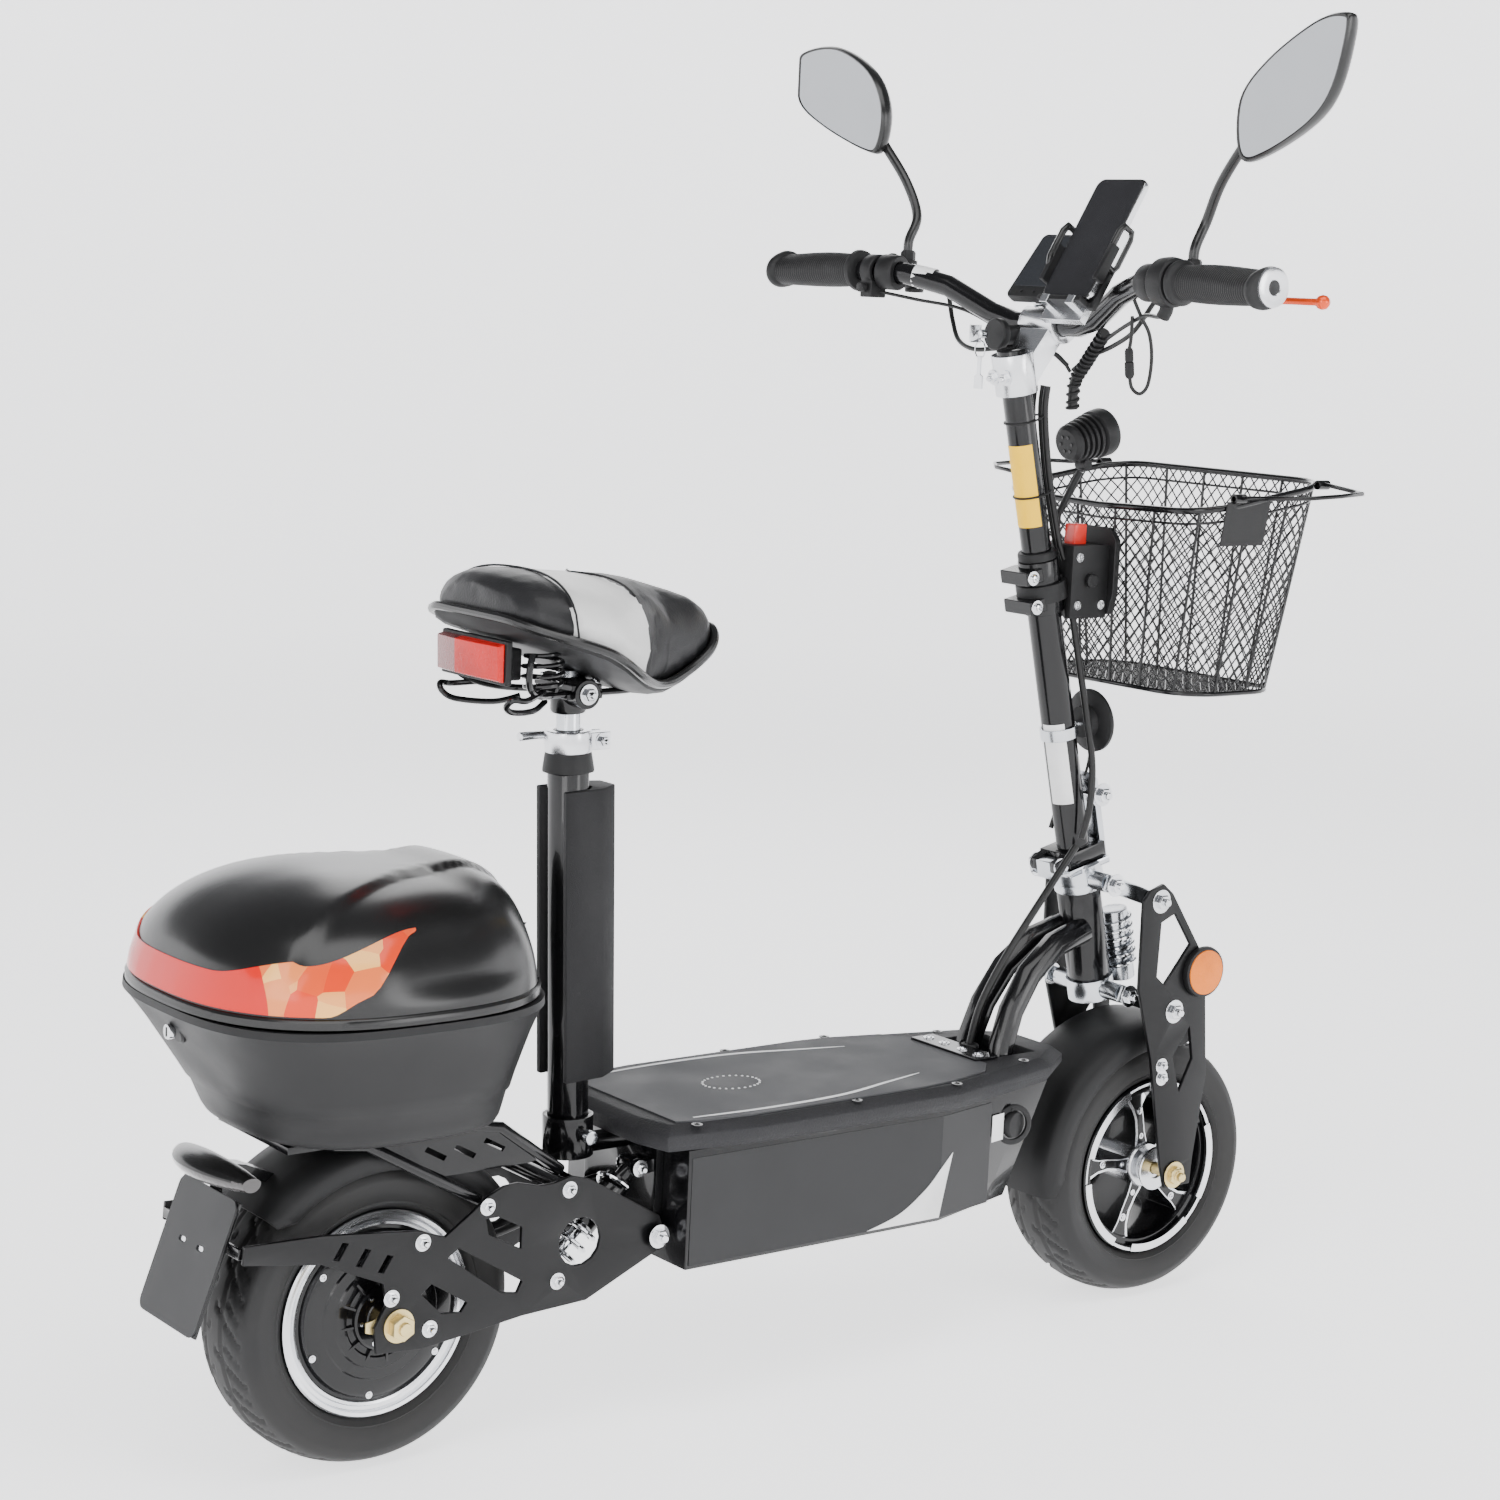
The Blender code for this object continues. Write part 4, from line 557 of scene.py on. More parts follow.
# ---------------------------------------------------------------- rear end
def swingarm():
    finish_node("swingarm_right swingarm_left", PLATE, 0.0007)
    finish_node("rear_axle", GOLD, 0.0005, 30)
    finish_node("luggage_rack", PAINT, 0.0006)
    finish_node("rear_bracket", PAINT, 0.0006)
    spots = [(0.0, WHEEL_R, 0), (0.163, 0.153, 1), (0.087, 0.233, 1), (0.173, 0.236, 1), (0.022, 0.211, 1),
        (-0.008, 0.166, 1), (0.031, 0.132, 1)]
    for side, tag in ((1, "left"), (-1, "right")):
        out = Vector((0, side, 0))
        heads = [bolt((x, side * 0.074, z), out, 0.005, 0.0044) for x, z, hexed in spots if hexed]
        piece("swingarm_bolts_" + tag, merge(*heads), CHROME, "swingarm", bevel=0.0002)
        pin = bolt((0.27, side * 0.079, 0.179), out, 0.0072, 0.0058)
        piece("pivot_nut_" + tag, pin, CHROME, "chassis", bevel=0.0003)
        washer = hoop(0.0063, 0.015, 0.0742, 0.0752, (0, 0, WHEEL_R), out, 32)
        end = lathe([(0.003, 0.087), (0.0055, 0.0875), (0.006, 0.0865), (0.006, 0.0835), (0.003, 0.0835)],
            (0, 0, WHEEL_R), out, 24, loop=True)
        piece("axle_washer_" + tag, merge(washer, end), GOLD, "swingarm")
        tab = plate([(-0.03, 0.146), (-0.008, 0.15), (0.002, 0.1495), (0.002, 0.1315), (-0.01, 0.131),
            (-0.03, 0.137)], side * 0.068, side * 0.0698, [circle2(0, WHEEL_R, 0.0064, 16)])
        piece("torque_tab_" + tag, tab, GOLD, "swingarm", bevel=0.0003)
    spacer = lathe([(0.0078, -0.0695), (0.0078, 0.0695)], (0.173, 0, 0.236), Y, 20)
    piece("swingarm_spacers", spacer, PAINT, "swingarm")
    top = Vector((0.262, -0.043, 0.238))
    foot = Vector((0.166, -0.043, 0.153))
    along = (foot - top).normalized()
    finish_node("rear_shock_body", PAINT, 0.0006, 30)
    finish_node("rear_shock_rod", CHROME, 0.0004, 30)
    start, length, turns = 0.022, 0.09, 6.5
    _, side, other = frame_of(along)
    coil = []
    for k in range(131):
        t = k / 130
        a = 2 * pi * turns * t
        coil.append(top + along * (start + length * t) + (side * cos(a) + other * sin(a)) * 0.0172)
    spring = piece("rear_spring", sweep(coil, 0.0022, 8), CHROME, "shock_body")
    spring.parent = None
    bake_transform(spring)
    piece("shock_clevis_bolt", merge(bolt((0.262, -0.0562, 0.238), -Y, 0.0052, 0.0046),
        bolt((0.262, -0.03, 0.238), Y, 0.0052, 0.0046)), CHROME, "chassis", bevel=0.0002)
    rack_bolts = [bolt((x, y, 0.3096), Z, 0.0045, 0.0036) for x,
        y in ((-0.088, 0.048), (-0.088, -0.048), (0.07, 0.048), (0.07, -0.048))]
    piece("rack_bolts", merge(*rack_bolts), CHROME, "swingarm")


def fender(name, centre, start, end, outer, half, skirt, body, node, material):
    """A moulded mudguard with a rolled edge and a shallow centre crown."""
    across = [(-1.0, -skirt), (-0.985, -skirt * 0.55), (-0.93, -0.0075), (-0.78, -0.0018), (-0.45, 0.0),
        (0.0, 0.0009), (0.45, 0.0), (0.78, -0.0018), (0.93, -0.0075), (0.985, -skirt * 0.55), (1.0, -skirt)]
    thick = 0.0026
    rows = 48
    rings = []
    for k in range(rows + 1):
        t = k / rows
        a = radians(start + (end - start) * t)
        ease = min(1.0, 8 * min(t, 1 - t) + 0.55)
        outside = [Vector((centre[0] + (outer + d * ease) * cos(a), w * half,
            centre[1] + (outer + d * ease) * sin(a))) for w, d in across]
        inside = [Vector((centre[0] + (outer + d * ease - thick) * cos(a), w * (half - thick * (abs(w) ** 3)),
            centre[1] + (outer + d * ease - thick) * sin(a))) for w, d in reversed(across)]
        rings.append(outside + inside)
    piece(name, loft(rings), material, body, angle=50, stands=(node,))


def number_plate():
    finish_node("number_plate", PAINT, 0.0006)
    lean = Matrix.Rotation(radians(20), 3, "Y")
    middle = Vector((-0.1615, 0.0, 0.208))
    half_w, half_h, r = 0.051, 0.06, 0.01
    outline = []
    for cu, cv, start in ((half_w - r, half_h - r, 0), (r - half_w, half_h - r, 90),
            (r - half_w, r - half_h, 180), (half_w - r, r - half_h, 270)):
        outline += circle2(cu, cv, r, 5, start, start + 90)
    slots = []
    for u in (-0.016, 0.016):
        slots.append(circle2(u + 0.0035, 0.01, 0.0022, 6, -90, 90) + circle2(u - 0.0035, 0.01, 0.0022, 6, 90,
            270))
    shape = plate(outline, 0.0018, 0.0034, slots, place=lambda u, v, h: middle + lean @ Vector((-h, u, v)))
    piece("plate_panel", shape, PLATE_GREY, "swingarm", bevel=0.0004)
    backing = plate([(-0.022, 0.004), (0.022, 0.004), (0.022, 0.016), (-0.022, 0.016)], 0.0015, 0.0019,
        place=lambda u, v, h: middle + lean @ Vector((-h, u, v)))
    piece("plate_slot_backing", backing, ALLOY, "swingarm")
    rings = []
    for k in range(15):
        t = -1 + 2 * k / 14
        wide = 0.019 * (1 - 0.55 * abs(t) ** 2.2)
        tall = 0.0135 * (1 - 0.45 * abs(t) ** 2.0)
        centre = Vector((-0.15 + 0.012 * t * t, 0.062 * t, 0.283 + 0.004 * (1 - t * t)))
        rings.append([centre + Vector((-wide * cos(2 * pi * j / 20), 0,
            tall * sin(2 * pi * j / 20) * (0.65 if sin(2 * pi * j / 20) > 0 else 1.0))) for j in range(20)])
    piece("tail_lamp", loft(rings), [GLOSS, SMOKE], "swingarm", angle=40, pick=lambda p,
        n: 1 if p.z < 0.285 and n.x < 0.2 else 0)
    arm = plate([(-0.15, 0.276), (-0.12, 0.272), (-0.085, 0.262), (-0.085, 0.27), (-0.115, 0.283),
        (-0.15, 0.29)], -0.009, 0.009)
    piece("lamp_bracket", arm, PAINT, "swingarm", bevel=0.0006)
    hanger = plate([(-0.139, 0.262), (-0.132, 0.262), (-0.128, 0.281), (-0.137, 0.281)], -0.011, 0.011)
    piece("plate_hanger", hanger, PAINT, "swingarm", bevel=0.0005)
    piece("lamp_bolt", bolt((-0.132, -0.0092, 0.28), -Y, 0.0036, 0.003), CHROME, "swingarm")


# ---------------------------------------------------------------- top case
LID_X, LID_RX, LID_RY, LID_Z, LID_H = -0.03, 0.163, 0.166, 0.4312, 0.0995


def superellipse(a, power=2.55):
    c, s = cos(a), sin(a)
    return (abs(c) ** (2 / power)) * (1 if c >= 0 else -1), (abs(s) ** (2 / power)) * (1 if s >= 0 else -1)


def smoothstep(low, high, value):
    t = min(max((value - low) / (high - low), 0.0), 1.0)
    return t * t * (3 - 2 * t)


def lid_point(a, phi, lift=0.0):
    """A point on the lid: a is the angle in plan, phi climbs from the rim to the crown."""
    cx, cy = superellipse(a)
    scale = max(cos(phi), 0.0) ** 0.6
    x = LID_X + 0.03 * sin(phi) ** 3 + (LID_RX + lift) * scale * cx
    y = (LID_RY + lift) * scale * cy
    z = LID_Z + (LID_H + lift) * sin(phi) ** 0.93
    panel = 0.04 + 0.105 * smoothstep(0.067, -0.213, x)
    raised = smoothstep(panel + 0.005, panel - 0.004, abs(y)) * smoothstep(0.462, 0.476, z)
    hump = smoothstep(0.032, 0.077, x) * smoothstep(0.105, 0.055, abs(y)) * smoothstep(0.46, 0.5, z)
    scallop = smoothstep(-0.08, 0.0, x) * smoothstep(0.445, 0.465, z) * smoothstep(panel, panel + 0.02,
        abs(y)) * smoothstep(0.107, 0.052, x)
    z += 0.0045 * raised + 0.006 * hump
    y -= 0.006 * scallop * (1 if y > 0 else -1)
    return Vector((x, y, z))


def lid_angle(z):
    return asin(min(max((z - LID_Z) / LID_H, 0.0), 1.0) ** (1 / 0.93))


def top_case():
    sides = 120
    turn = lambda k: 2 * pi * k / sides
    flange = [(0.0015, LID_Z - 0.0002), (0.0045, LID_Z + 0.0012), (0.0048, LID_Z + 0.0072),
        (0.003, LID_Z + 0.0092)]
    rings = []
    for grow, z in flange:
        rings.append([Vector((LID_X + (LID_RX + grow - 0.002) * superellipse(turn(k))[0],
            (LID_RY + grow - 0.002) * superellipse(turn(k))[1], z)) for k in range(sides)])
    steps = 34
    outer = [[lid_point(turn(k), lid_angle(LID_Z + 0.0098) + (pi / 2 - lid_angle(LID_Z + 0.0098))
        * (j / steps)) for k in range(sides)] for j in range(steps + 1)]
    inner = []
    for j in (13, 12, 8, 5, 3, 1, 0):
        phi = (pi / 2) * j / 13
        inner.append([lid_point(turn(k), phi, -0.0035) for k in range(sides)])
    inner[-1] = [Vector((p.x, p.y, LID_Z - 0.0002)) for p in inner[-1]]
    piece("case_lid", loft(rings + outer + inner), [GLOSS, MATTE], "lid", angle=46, stands=("top_case_lid",),
        pick=lambda p, n: 1 if n.z < -0.2 and p.z > LID_Z + 0.004 else 0)
    lens_rows, lens_cols = 8, 84
    outside, inside = [], []
    for c in range(lens_cols + 1):
        t = -1 + 2 * c / lens_cols
        a = pi + t * radians(88)
        reach = abs(t)
        low = 0.4425 + 0.015 * smoothstep(0.7, 0.86, reach) + 0.044 * smoothstep(0.84, 1.0, reach)
        high = 0.468 + 0.013 * smoothstep(0.2, 0.62, reach) + 0.0225 * smoothstep(0.6, 1.0, reach)
        outside.append([lid_point(a, lid_angle(low + (high - low) * r / lens_rows),
            0.0016) for r in range(lens_rows + 1)])
        inside.append([lid_point(a, lid_angle(low + (high - low) * r / lens_rows),
            -0.001) for r in range(lens_rows + 1)])
    loops = [outside[c] + list(reversed(inside[c])) for c in range(lens_cols + 1)]
    piece("tail_lens_band", loft(loops), TAIL_LENS, "lid", angle=30, bevel=0.0004)
    tub_rows = [(0.43, 0.163, 0.1665, -0.0295), (0.4235, 0.1635, 0.167, -0.0295),
        (0.419, 0.16, 0.1635, -0.029), (0.4, 0.15, 0.154, -0.025), (0.38, 0.141, 0.145, -0.021),
        (0.36, 0.132, 0.1365, -0.017), (0.348, 0.127, 0.132, -0.0145), (0.3455, 0.124, 0.129, -0.014),
        (0.33, 0.1195, 0.1235, -0.012), (0.322, 0.117, 0.1205, -0.011), (0.3165, 0.114, 0.117, -0.0105),
        (0.314, 0.108, 0.111, -0.01)]
    ring_at = lambda z, rx, ry, cx, w=0.0: [Vector((cx + (rx - w) * superellipse(turn(k), 2.9)[0],
        (ry - w) * superellipse(turn(k), 2.9)[1], z)) for k in range(sides)]
    outside = [ring_at(*row) for row in reversed(tub_rows)]
    inside = [ring_at(row[0] + (0.003 if row[0] < 0.33 else 0.0), *row[1:],
        w=0.0045) for row in tub_rows if row[0] > 0.316]
    piece("case_tub", loft(outside + inside), MATTE, "swingarm", angle=40, stands=("top_case_tub",))
    finish_node("case_lock", CHROME, 0.0005, 30)
    plate_at = Vector((-0.1782, 0, 0.405))
    piece("lock_surround", lathe([(0.0, -0.006), (0.012, -0.006), (0.012, -0.0005), (0.01, 0.0012),
        (0.0072, 0.0012), (0.0, 0.001)], plate_at, Vector((-1, 0, -0.35)), 36), MATTE, "swingarm")
    piece("key_slot", box((-0.1876, -0.0006, 0.401), (-0.1868, 0.0006, 0.409)), PAINT, "lid_lock")
    clip = plate([(0.1345, 0.414), (0.1395, 0.414), (0.141, 0.421), (0.1405, 0.44), (0.1385, 0.4445),
        (0.134, 0.4445)], -0.016, 0.016)
    piece("case_hinge_clip", clip, MATTE, "swingarm", bevel=0.0008)
    pad = []
    for k in range(13):
        t = -1 + 2 * k / 12
        y = 0.07 * t
        width = 0.019 * (1 - abs(t) ** 4)
        pad.append([Vector((0.1165 - 0.1 * y * y / 0.07 - 0.0108 * sin(2 * pi * j / 16) + 0.0032
            * cos(2 * pi * j / 16), y, 0.484 + (width + 0.001) * sin(2 * pi * j / 16))) for j in range(16)])
    rest = piece("backrest_pad", loft(pad), VINYL, "lid", angle=50)


# ---------------------------------------------------------------- saddle
SADDLE = [                     # x, half width, height of the piping, crown
    (0.0992, 0.045, 0.746, 0.757), (0.1041, 0.0702, 0.743, 0.772), (0.1148, 0.09, 0.738, 0.7815), (0.1313,
        0.1044, 0.733, 0.785),
    (0.1519, 0.1107, 0.727, 0.784), (0.1725, 0.1103, 0.72, 0.7815), (0.1931, 0.1044, 0.71, 0.78), (0.2136,
        0.0936, 0.699, 0.7795),
    (0.2342, 0.0783, 0.69, 0.7785), (0.2548, 0.063, 0.684, 0.7755), (0.2795, 0.0486, 0.683, 0.769), (0.3042,
        0.0391, 0.69, 0.764),
    (0.3248, 0.0333, 0.7, 0.759), (0.3388, 0.0279, 0.709, 0.751), (0.3487, 0.0189, 0.718, 0.74), (0.3528,
        0.0072, 0.725, 0.73)]


def cushion_rings(shrink=0.0):
    rings = []
    for x, half, low, high in SADDLE:
        half, high = max(half - shrink, 0.004), high - shrink
        row = []
        for k in range(28):
            a = 2 * pi * k / 28
            up = sin(a)
            width = abs(cos(a)) ** 0.72 * (1 if cos(a) > 0 else -1)
            rise = (high - low) * up ** 0.85 if up > 0 else -0.004 * abs(up)
            row.append(Vector((x, half * width, low + rise)))
        rings.append(row)
    return rings


def puff(obj, cap, pressure=4.0, voxel=0.005):
    """Fills a copy of the pad with air, so that its skin is taut between its edges."""
    scene = bpy.context.scene
    remesh = obj.modifiers.new("remesh", "REMESH")
    remesh.mode, remesh.voxel_size = "VOXEL", voxel
    graph = bpy.context.evaluated_depsgraph_get()
    base = bpy.data.meshes.new_from_object(obj.evaluated_get(graph))
    obj.modifiers.clear()
    obj.data = base
    rest = [v.co.copy() for v in base.vertices]
    cloth = obj.modifiers.new("cloth", "CLOTH")
    cloth.settings.use_pressure, cloth.settings.uniform_pressure_force = True, pressure
    cloth.settings.effector_weights.gravity = 0.0
    cloth.settings.quality = 5
    for step in range(1, 21):
        scene.frame_set(step)
    graph = bpy.context.evaluated_depsgraph_get()
    done = bpy.data.meshes.new_from_object(obj.evaluated_get(graph))
    obj.modifiers.clear()
    for vertex, origin in zip(done.vertices, rest):
        move = vertex.co - origin
        if move.length > cap:
            vertex.co = origin + move * (cap / move.length)
    obj.data = done
    scene.frame_set(1)


def saddle():
    shape = loft(cushion_rings(0.0035))
    cushion = piece("saddle_cover", shape, [VINYL, SILVER_VINYL], "saddle", angle=80,
        stands=("saddle_cushion",))
    cushion.parent = None
    puff(cushion, 0.0042)

    def panel(p):
        reach = abs(p.y)
        behind = 0.15 - 0.1 * reach
        ahead = 0.198 + 0.62 * reach
        return 1 if behind < p.x < ahead and p.z > 0.688 else 0
    cushion.data.materials.clear()
    for material in (VINYL, SILVER_VINYL):
        cushion.data.materials.append(material)
    for polygon in cushion.data.polygons:
        polygon.material_index = panel(Vector(polygon.center) - SHIFT)
        polygon.use_smooth = True
    smooth = cushion.modifiers.new("smooth", "SUBSURF")
    smooth.levels = smooth.render_levels = 1
    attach(cushion, "saddle")
    edge = [Vector((x, half + 0.0008, low + 0.001)) for x, half, low, high in SADDLE]
    loop = edge + [Vector((p.x, -p.y, p.z)) for p in reversed(edge)]
    piece("saddle_piping", sweep(curve(loop, 4, True), 0.0042, 10, True), GLOSS, "saddle")
    for tag, line in (("rear", lambda r: 0.15 - 0.1 * r), ("front", lambda r: 0.198 + 0.62 * r)):
        for side, way in ((1, "left"), (-1, "right")):
            seam = []
            for k in range(17):
                reach = (0.108 if tag == "rear" else 0.056) * k / 16
                x = line(reach)
                row = [s for s in zip(SADDLE, SADDLE[1:]) if s[0][0] <= x <= s[1][0]]
                if not row:
                    continue
                (xa, ha, la, ta), (xb, hb, lb, tb) = row[0]
                t = (x - xa) / (xb - xa)
                half, low, high = ha + (hb - ha) * t, la + (lb - la) * t, ta + (tb - ta) * t
                w = min(reach / half, 0.999)
                up = (1 - (w ** (1 / 0.72)) ** 2) ** 0.5
                seam.append(Vector((x, side * reach, low + (high - low) * up ** 0.85 + 0.0004)))
            piece("saddle_seam_%s_%s" % (tag, way), sweep(seam, 0.0011, 6), VINYL, "saddle")
    base = []
    for x, half, low, high in SADDLE[1:-1]:
        base.append([Vector((x, half * 0.97 * w, low - d)) for w,
            d in ((-1, 0.001), (-0.985, 0.006), (-0.8, 0.01), (-0.4, 0.012), (0.4, 0.012), (0.8, 0.01),
            (0.985, 0.006), (1, 0.001), (0.5, -0.004), (-0.5, -0.004))])
    piece("saddle_base", loft(base), MATTE, "saddle", angle=50, stands=("saddle_frame",))
    under_saddle()


def under_saddle():
    top = seat(0.437)
    wires = []
    for side in (-1, 1):
        rail = [(0.124, side * 0.06, 0.716), (0.12, side * 0.062, 0.7), (0.124, side * 0.058, 0.686),
            (0.142, side * 0.044, 0.677), (0.17, side * 0.026, 0.674), (0.215, side * 0.022, 0.674),
            (0.255, side * 0.022, 0.675), (0.282, side * 0.018, 0.68), (0.302, side * 0.014, 0.69)]
        wires.append(sweep(curve(rail, 6), 0.0032, 10))
        loop = [(0.165, side * 0.02, 0.668), (0.145, side * 0.032, 0.662), (0.115, side * 0.046, 0.664),
            (0.104, side * 0.052, 0.67), (0.106, side * 0.06, 0.677), (0.12, side * 0.06, 0.676),
            (0.15, side * 0.04, 0.68)]
        wires.append(sweep(curve(loop, 6), 0.0028, 10))
        coil = []
        for k in range(73):
            a = 2 * pi * 4 * k / 72
            radius = 0.015 + 0.0025 * sin(pi * k / 72)
            coil.append((0.142 + radius * cos(a), side * 0.05 + radius * sin(a), 0.682 + 0.036 * k / 72))
        wires.append(sweep(coil, 0.0021, 8))
    piece("saddle_rails", merge(*wires), PAINT, "saddle")
    clamp = [box((top.x - 0.019, -0.028, 0.669), (top.x + 0.019, 0.028, 0.6745)),
        box((top.x - 0.016, -0.031, 0.6765), (top.x + 0.016, 0.031, 0.6825)),
        lathe([(0.0, 0.398), (0.015, 0.398), (0.0165, 0.401), (0.0165, 0.428), (0.014, 0.431), (0.0, 0.431)],
        SEAT_FOOT, SEAT_DIR, 32), disc(0.0135, -0.033, 0.033, (top.x, 0, 0.674), Y, 28)]
    piece("saddle_clamp", merge(*clamp), PAINT, "saddle", bevel=0.001)
    heads = [bolt((top.x, -0.0335, 0.674), -Y, 0.006, 0.0052), bolt((top.x, 0.0335, 0.674), Y, 0.006, 0.0052),
        bolt((top.x + 0.0145, -0.02, 0.6825), Z, 0.0036, 0.003),
        bolt((top.x - 0.0145, 0.02, 0.6825), Z, 0.0036, 0.003)]
    piece("saddle_bolts", merge(*heads), CHROME, "saddle")
    finish_node("seat_post", ZINC, 0.0005, 30)
    collar = lathe([(0.0137, 0.362), (0.0205, 0.362), (0.0215, 0.364), (0.0215, 0.38), (0.0205, 0.3825),
        (0.0137, 0.3825)], SEAT_FOOT, SEAT_DIR, 48, loop=True)
    ears = [box((0.213, -0.013, 0.62), (0.242, -0.004, 0.636)),
        box((0.213, 0.004, 0.62), (0.242, 0.0115, 0.636))]
    skewer = disc(0.0034, -0.019, 0.0118, (0.233, 0, 0.628), Y, 16)
    piece("seat_collar", merge(collar, *ears), ALLOY, "chassis", bevel=0.0009)
    piece("seat_collar_bolt", merge(skewer, bolt((0.233, -0.013, 0.628), -Y, 0.0048, 0.005)), CHROME,
        "chassis")
    finish_node("seat_qr_lever", ALLOY, 0.0012, 34)
    cone = lathe([(0.0138, 0.37), (0.019, 0.369), (0.0215, 0.36), (0.0235, 0.347), (0.0235, 0.345),
        (0.0138, 0.345)], SEAT_FOOT, SEAT_DIR, 48, loop=True)
    piece("tube_cone", cone, MATTE, "chassis")
    backing = box((0.102, -0.053, 0.688), (0.1085, 0.053, 0.727))
    face = []
    for k in range(13):
        t = -1 + 2 * k / 12
        face.append([Vector((x - 0.003 * (1 - t * t) * (x < 0.1), 0.05 * t, z)) for x,
            z in ((0.102, 0.6905), (0.096, 0.6925), (0.095, 0.7225), (0.102, 0.7245))])
    piece("reflector_back", backing, MATTE, "saddle", bevel=0.0015)
    piece("rear_reflector", loft(face), [RED_LENS, DARK_LENS], "saddle", bevel=0.0008, pick=lambda p,
        n: 1 if p.y > 0.016 else 0)
    block = [box((0.1085, -0.035, 0.69), (0.13, -0.01, 0.718)),
        box((0.108, 0.0, 0.695), (0.126, 0.024, 0.712))]
    piece("reflector_mount", merge(*block), TEXTURED, "saddle", bevel=0.002)


# ---------------------------------------------------------------- deck and box
def deck():
    finish_node("deck_cover", DECK, 0.0012)
    finish_node("chassis_box front_frame kickstand seat_tube", PAINT, 0.0009)
    finish_node("charge_port_cap", RUBBER, 0.0008)
    finish_node("battery_pack motor_controller", TEXTURED, 0.001)
    finish_node("seat_case", TEXTURED, 0.0012)
    finish_node("seat_lock_pin", ZINC, 0.0005, 30)
    outline = [(0.278, 0.086), (0.3, 0.094), (0.355, 0.1), (0.56, 0.1), (0.6, 0.096), (0.655, 0.082),
        (0.676, 0.06)]
    outline += [(x, -y) for x, y in reversed(outline)]
    mat = plate(outline, 0.2858, 0.2876, place=lambda u, v, h: Vector((u, v, h)))
    piece("deck_mat", mat, MAT, "chassis", bevel=0.0006)
    dots = []
    for k in range(28):
        a = 2 * pi * k / 28
        spot = Vector((0.405 + 0.03 * cos(a), 0.0 + 0.022 * sin(a), 0.2876))
        dots.append(lathe([(0.0, 0.0008), (0.0011, 0.0006), (0.0014, -0.0002), (0.0, -0.0002)], spot, Z, 8))
    piece("deck_dots", merge(*dots), WHITE, "chassis")
    marks = []
    for side in (-1, 1):
        line = curve([(0.3, side * 0.083, 0), (0.38, side * 0.089, 0), (0.47, side * 0.086, 0),
            (0.54, side * 0.07, 0), (0.59, side * 0.058, 0)], 8)
        count = len(line)
        left, right = [], []
        for k, p in enumerate(line):
            t = k / (count - 1)
            wide = 0.0004 + 0.0019 * sin(pi * min(1.0, 0.04 + t)) ** 0.6
            left.append((p.x, p.y + wide))
            right.append((p.x, p.y - wide))
        marks.append(plate(left + list(reversed(right)), 0.2874, 0.2879, place=lambda u, v,
            h: Vector((u, v, h))))
    piece("deck_lines", merge(*marks), WHITE, "chassis")
    spots = [(0.292, 0.1), (0.292, -0.1), (0.475, 0.104), (0.475, -0.104), (0.6, 0.103), (0.6, -0.103),
        (0.72, 0.066), (0.72, -0.066)]
    piece("deck_screws", merge(*[bolt((x, y, 0.2858), Z, 0.0034, 0.0014, "socket") for x, y in spots]), PAINT,
        "chassis")
    side_film()
    cap_spot = Vector((0.7, -0.076, 0.226))
    out = Vector((-0.202, -0.979, 0.0)).normalized()
    tag_quad = [(0.668, 0.213), (0.686, 0.213), (0.686, 0.24), (0.668, 0.24)]
    label = plate(tag_quad, 0.0, 0.0004, place=lambda u, v,
        h: Vector((u, -0.0977 + (u - 0.59) * 0.2071 - 0.0006 - h, v)))
    piece("battery_tag", label, WHITE, "chassis")
    ring = lathe([(0.015, -0.0002), (0.0205, -0.0002), (0.0205, 0.0022), (0.019, 0.0032), (0.015, 0.0032)],
        cap_spot + out * 0.0005, out, 40, loop=True)
    piece("charge_port_ring", ring, MATTE, "chassis")
    piece("box_seam", box((0.2868, 0.0972, 0.218), (0.7, 0.0984, 0.2192)), MATTE, "chassis")
    piece("kickstand_pin", bolt((0.372, 0.0965, 0.1395), Y, 0.0056, 0.004), CHROME, "chassis")
    gooseneck()


def side_film():
    """The grey film on the right side, folded round onto the nose, with its pale curved flash."""
    side = lambda u, v, h: Vector((u, -0.0977 - h, v))
    nose = lambda u, v, h: Vector((u, -0.0977 + (u - 0.59) * 0.2071 - h, v))
    low, high = 0.1525, 0.254
    flat = plate([(0.2905, low), (0.5897, low), (0.5897, high), (0.2905, high)], 0.0, 0.0005, place=side)
    fold = plate([(0.5897, low), (0.666, low), (0.666, high), (0.5897, high)], 0.0, 0.0005, place=nose)
    piece("side_film", merge(flat, fold), PLATE_GREY, "chassis")
    edge = curve([(0.5, 0, 0.153), (0.54, 0, 0.164), (0.572, 0, 0.184), (0.5897, 0, 0.2015)], 8)
    on_side = plate([(p.x, p.z) for p in edge] + [(0.5897, 0.153)], 0.0005, 0.001, place=side)
    tip = [(0.5897, 0.153), (0.5897, 0.2015), (0.607, 0.215), (0.5985, 0.186)]
    on_nose = plate(tip, 0.0005, 0.001, place=nose)
    piece("side_flash", merge(on_side, on_nose), WHITE, "chassis")


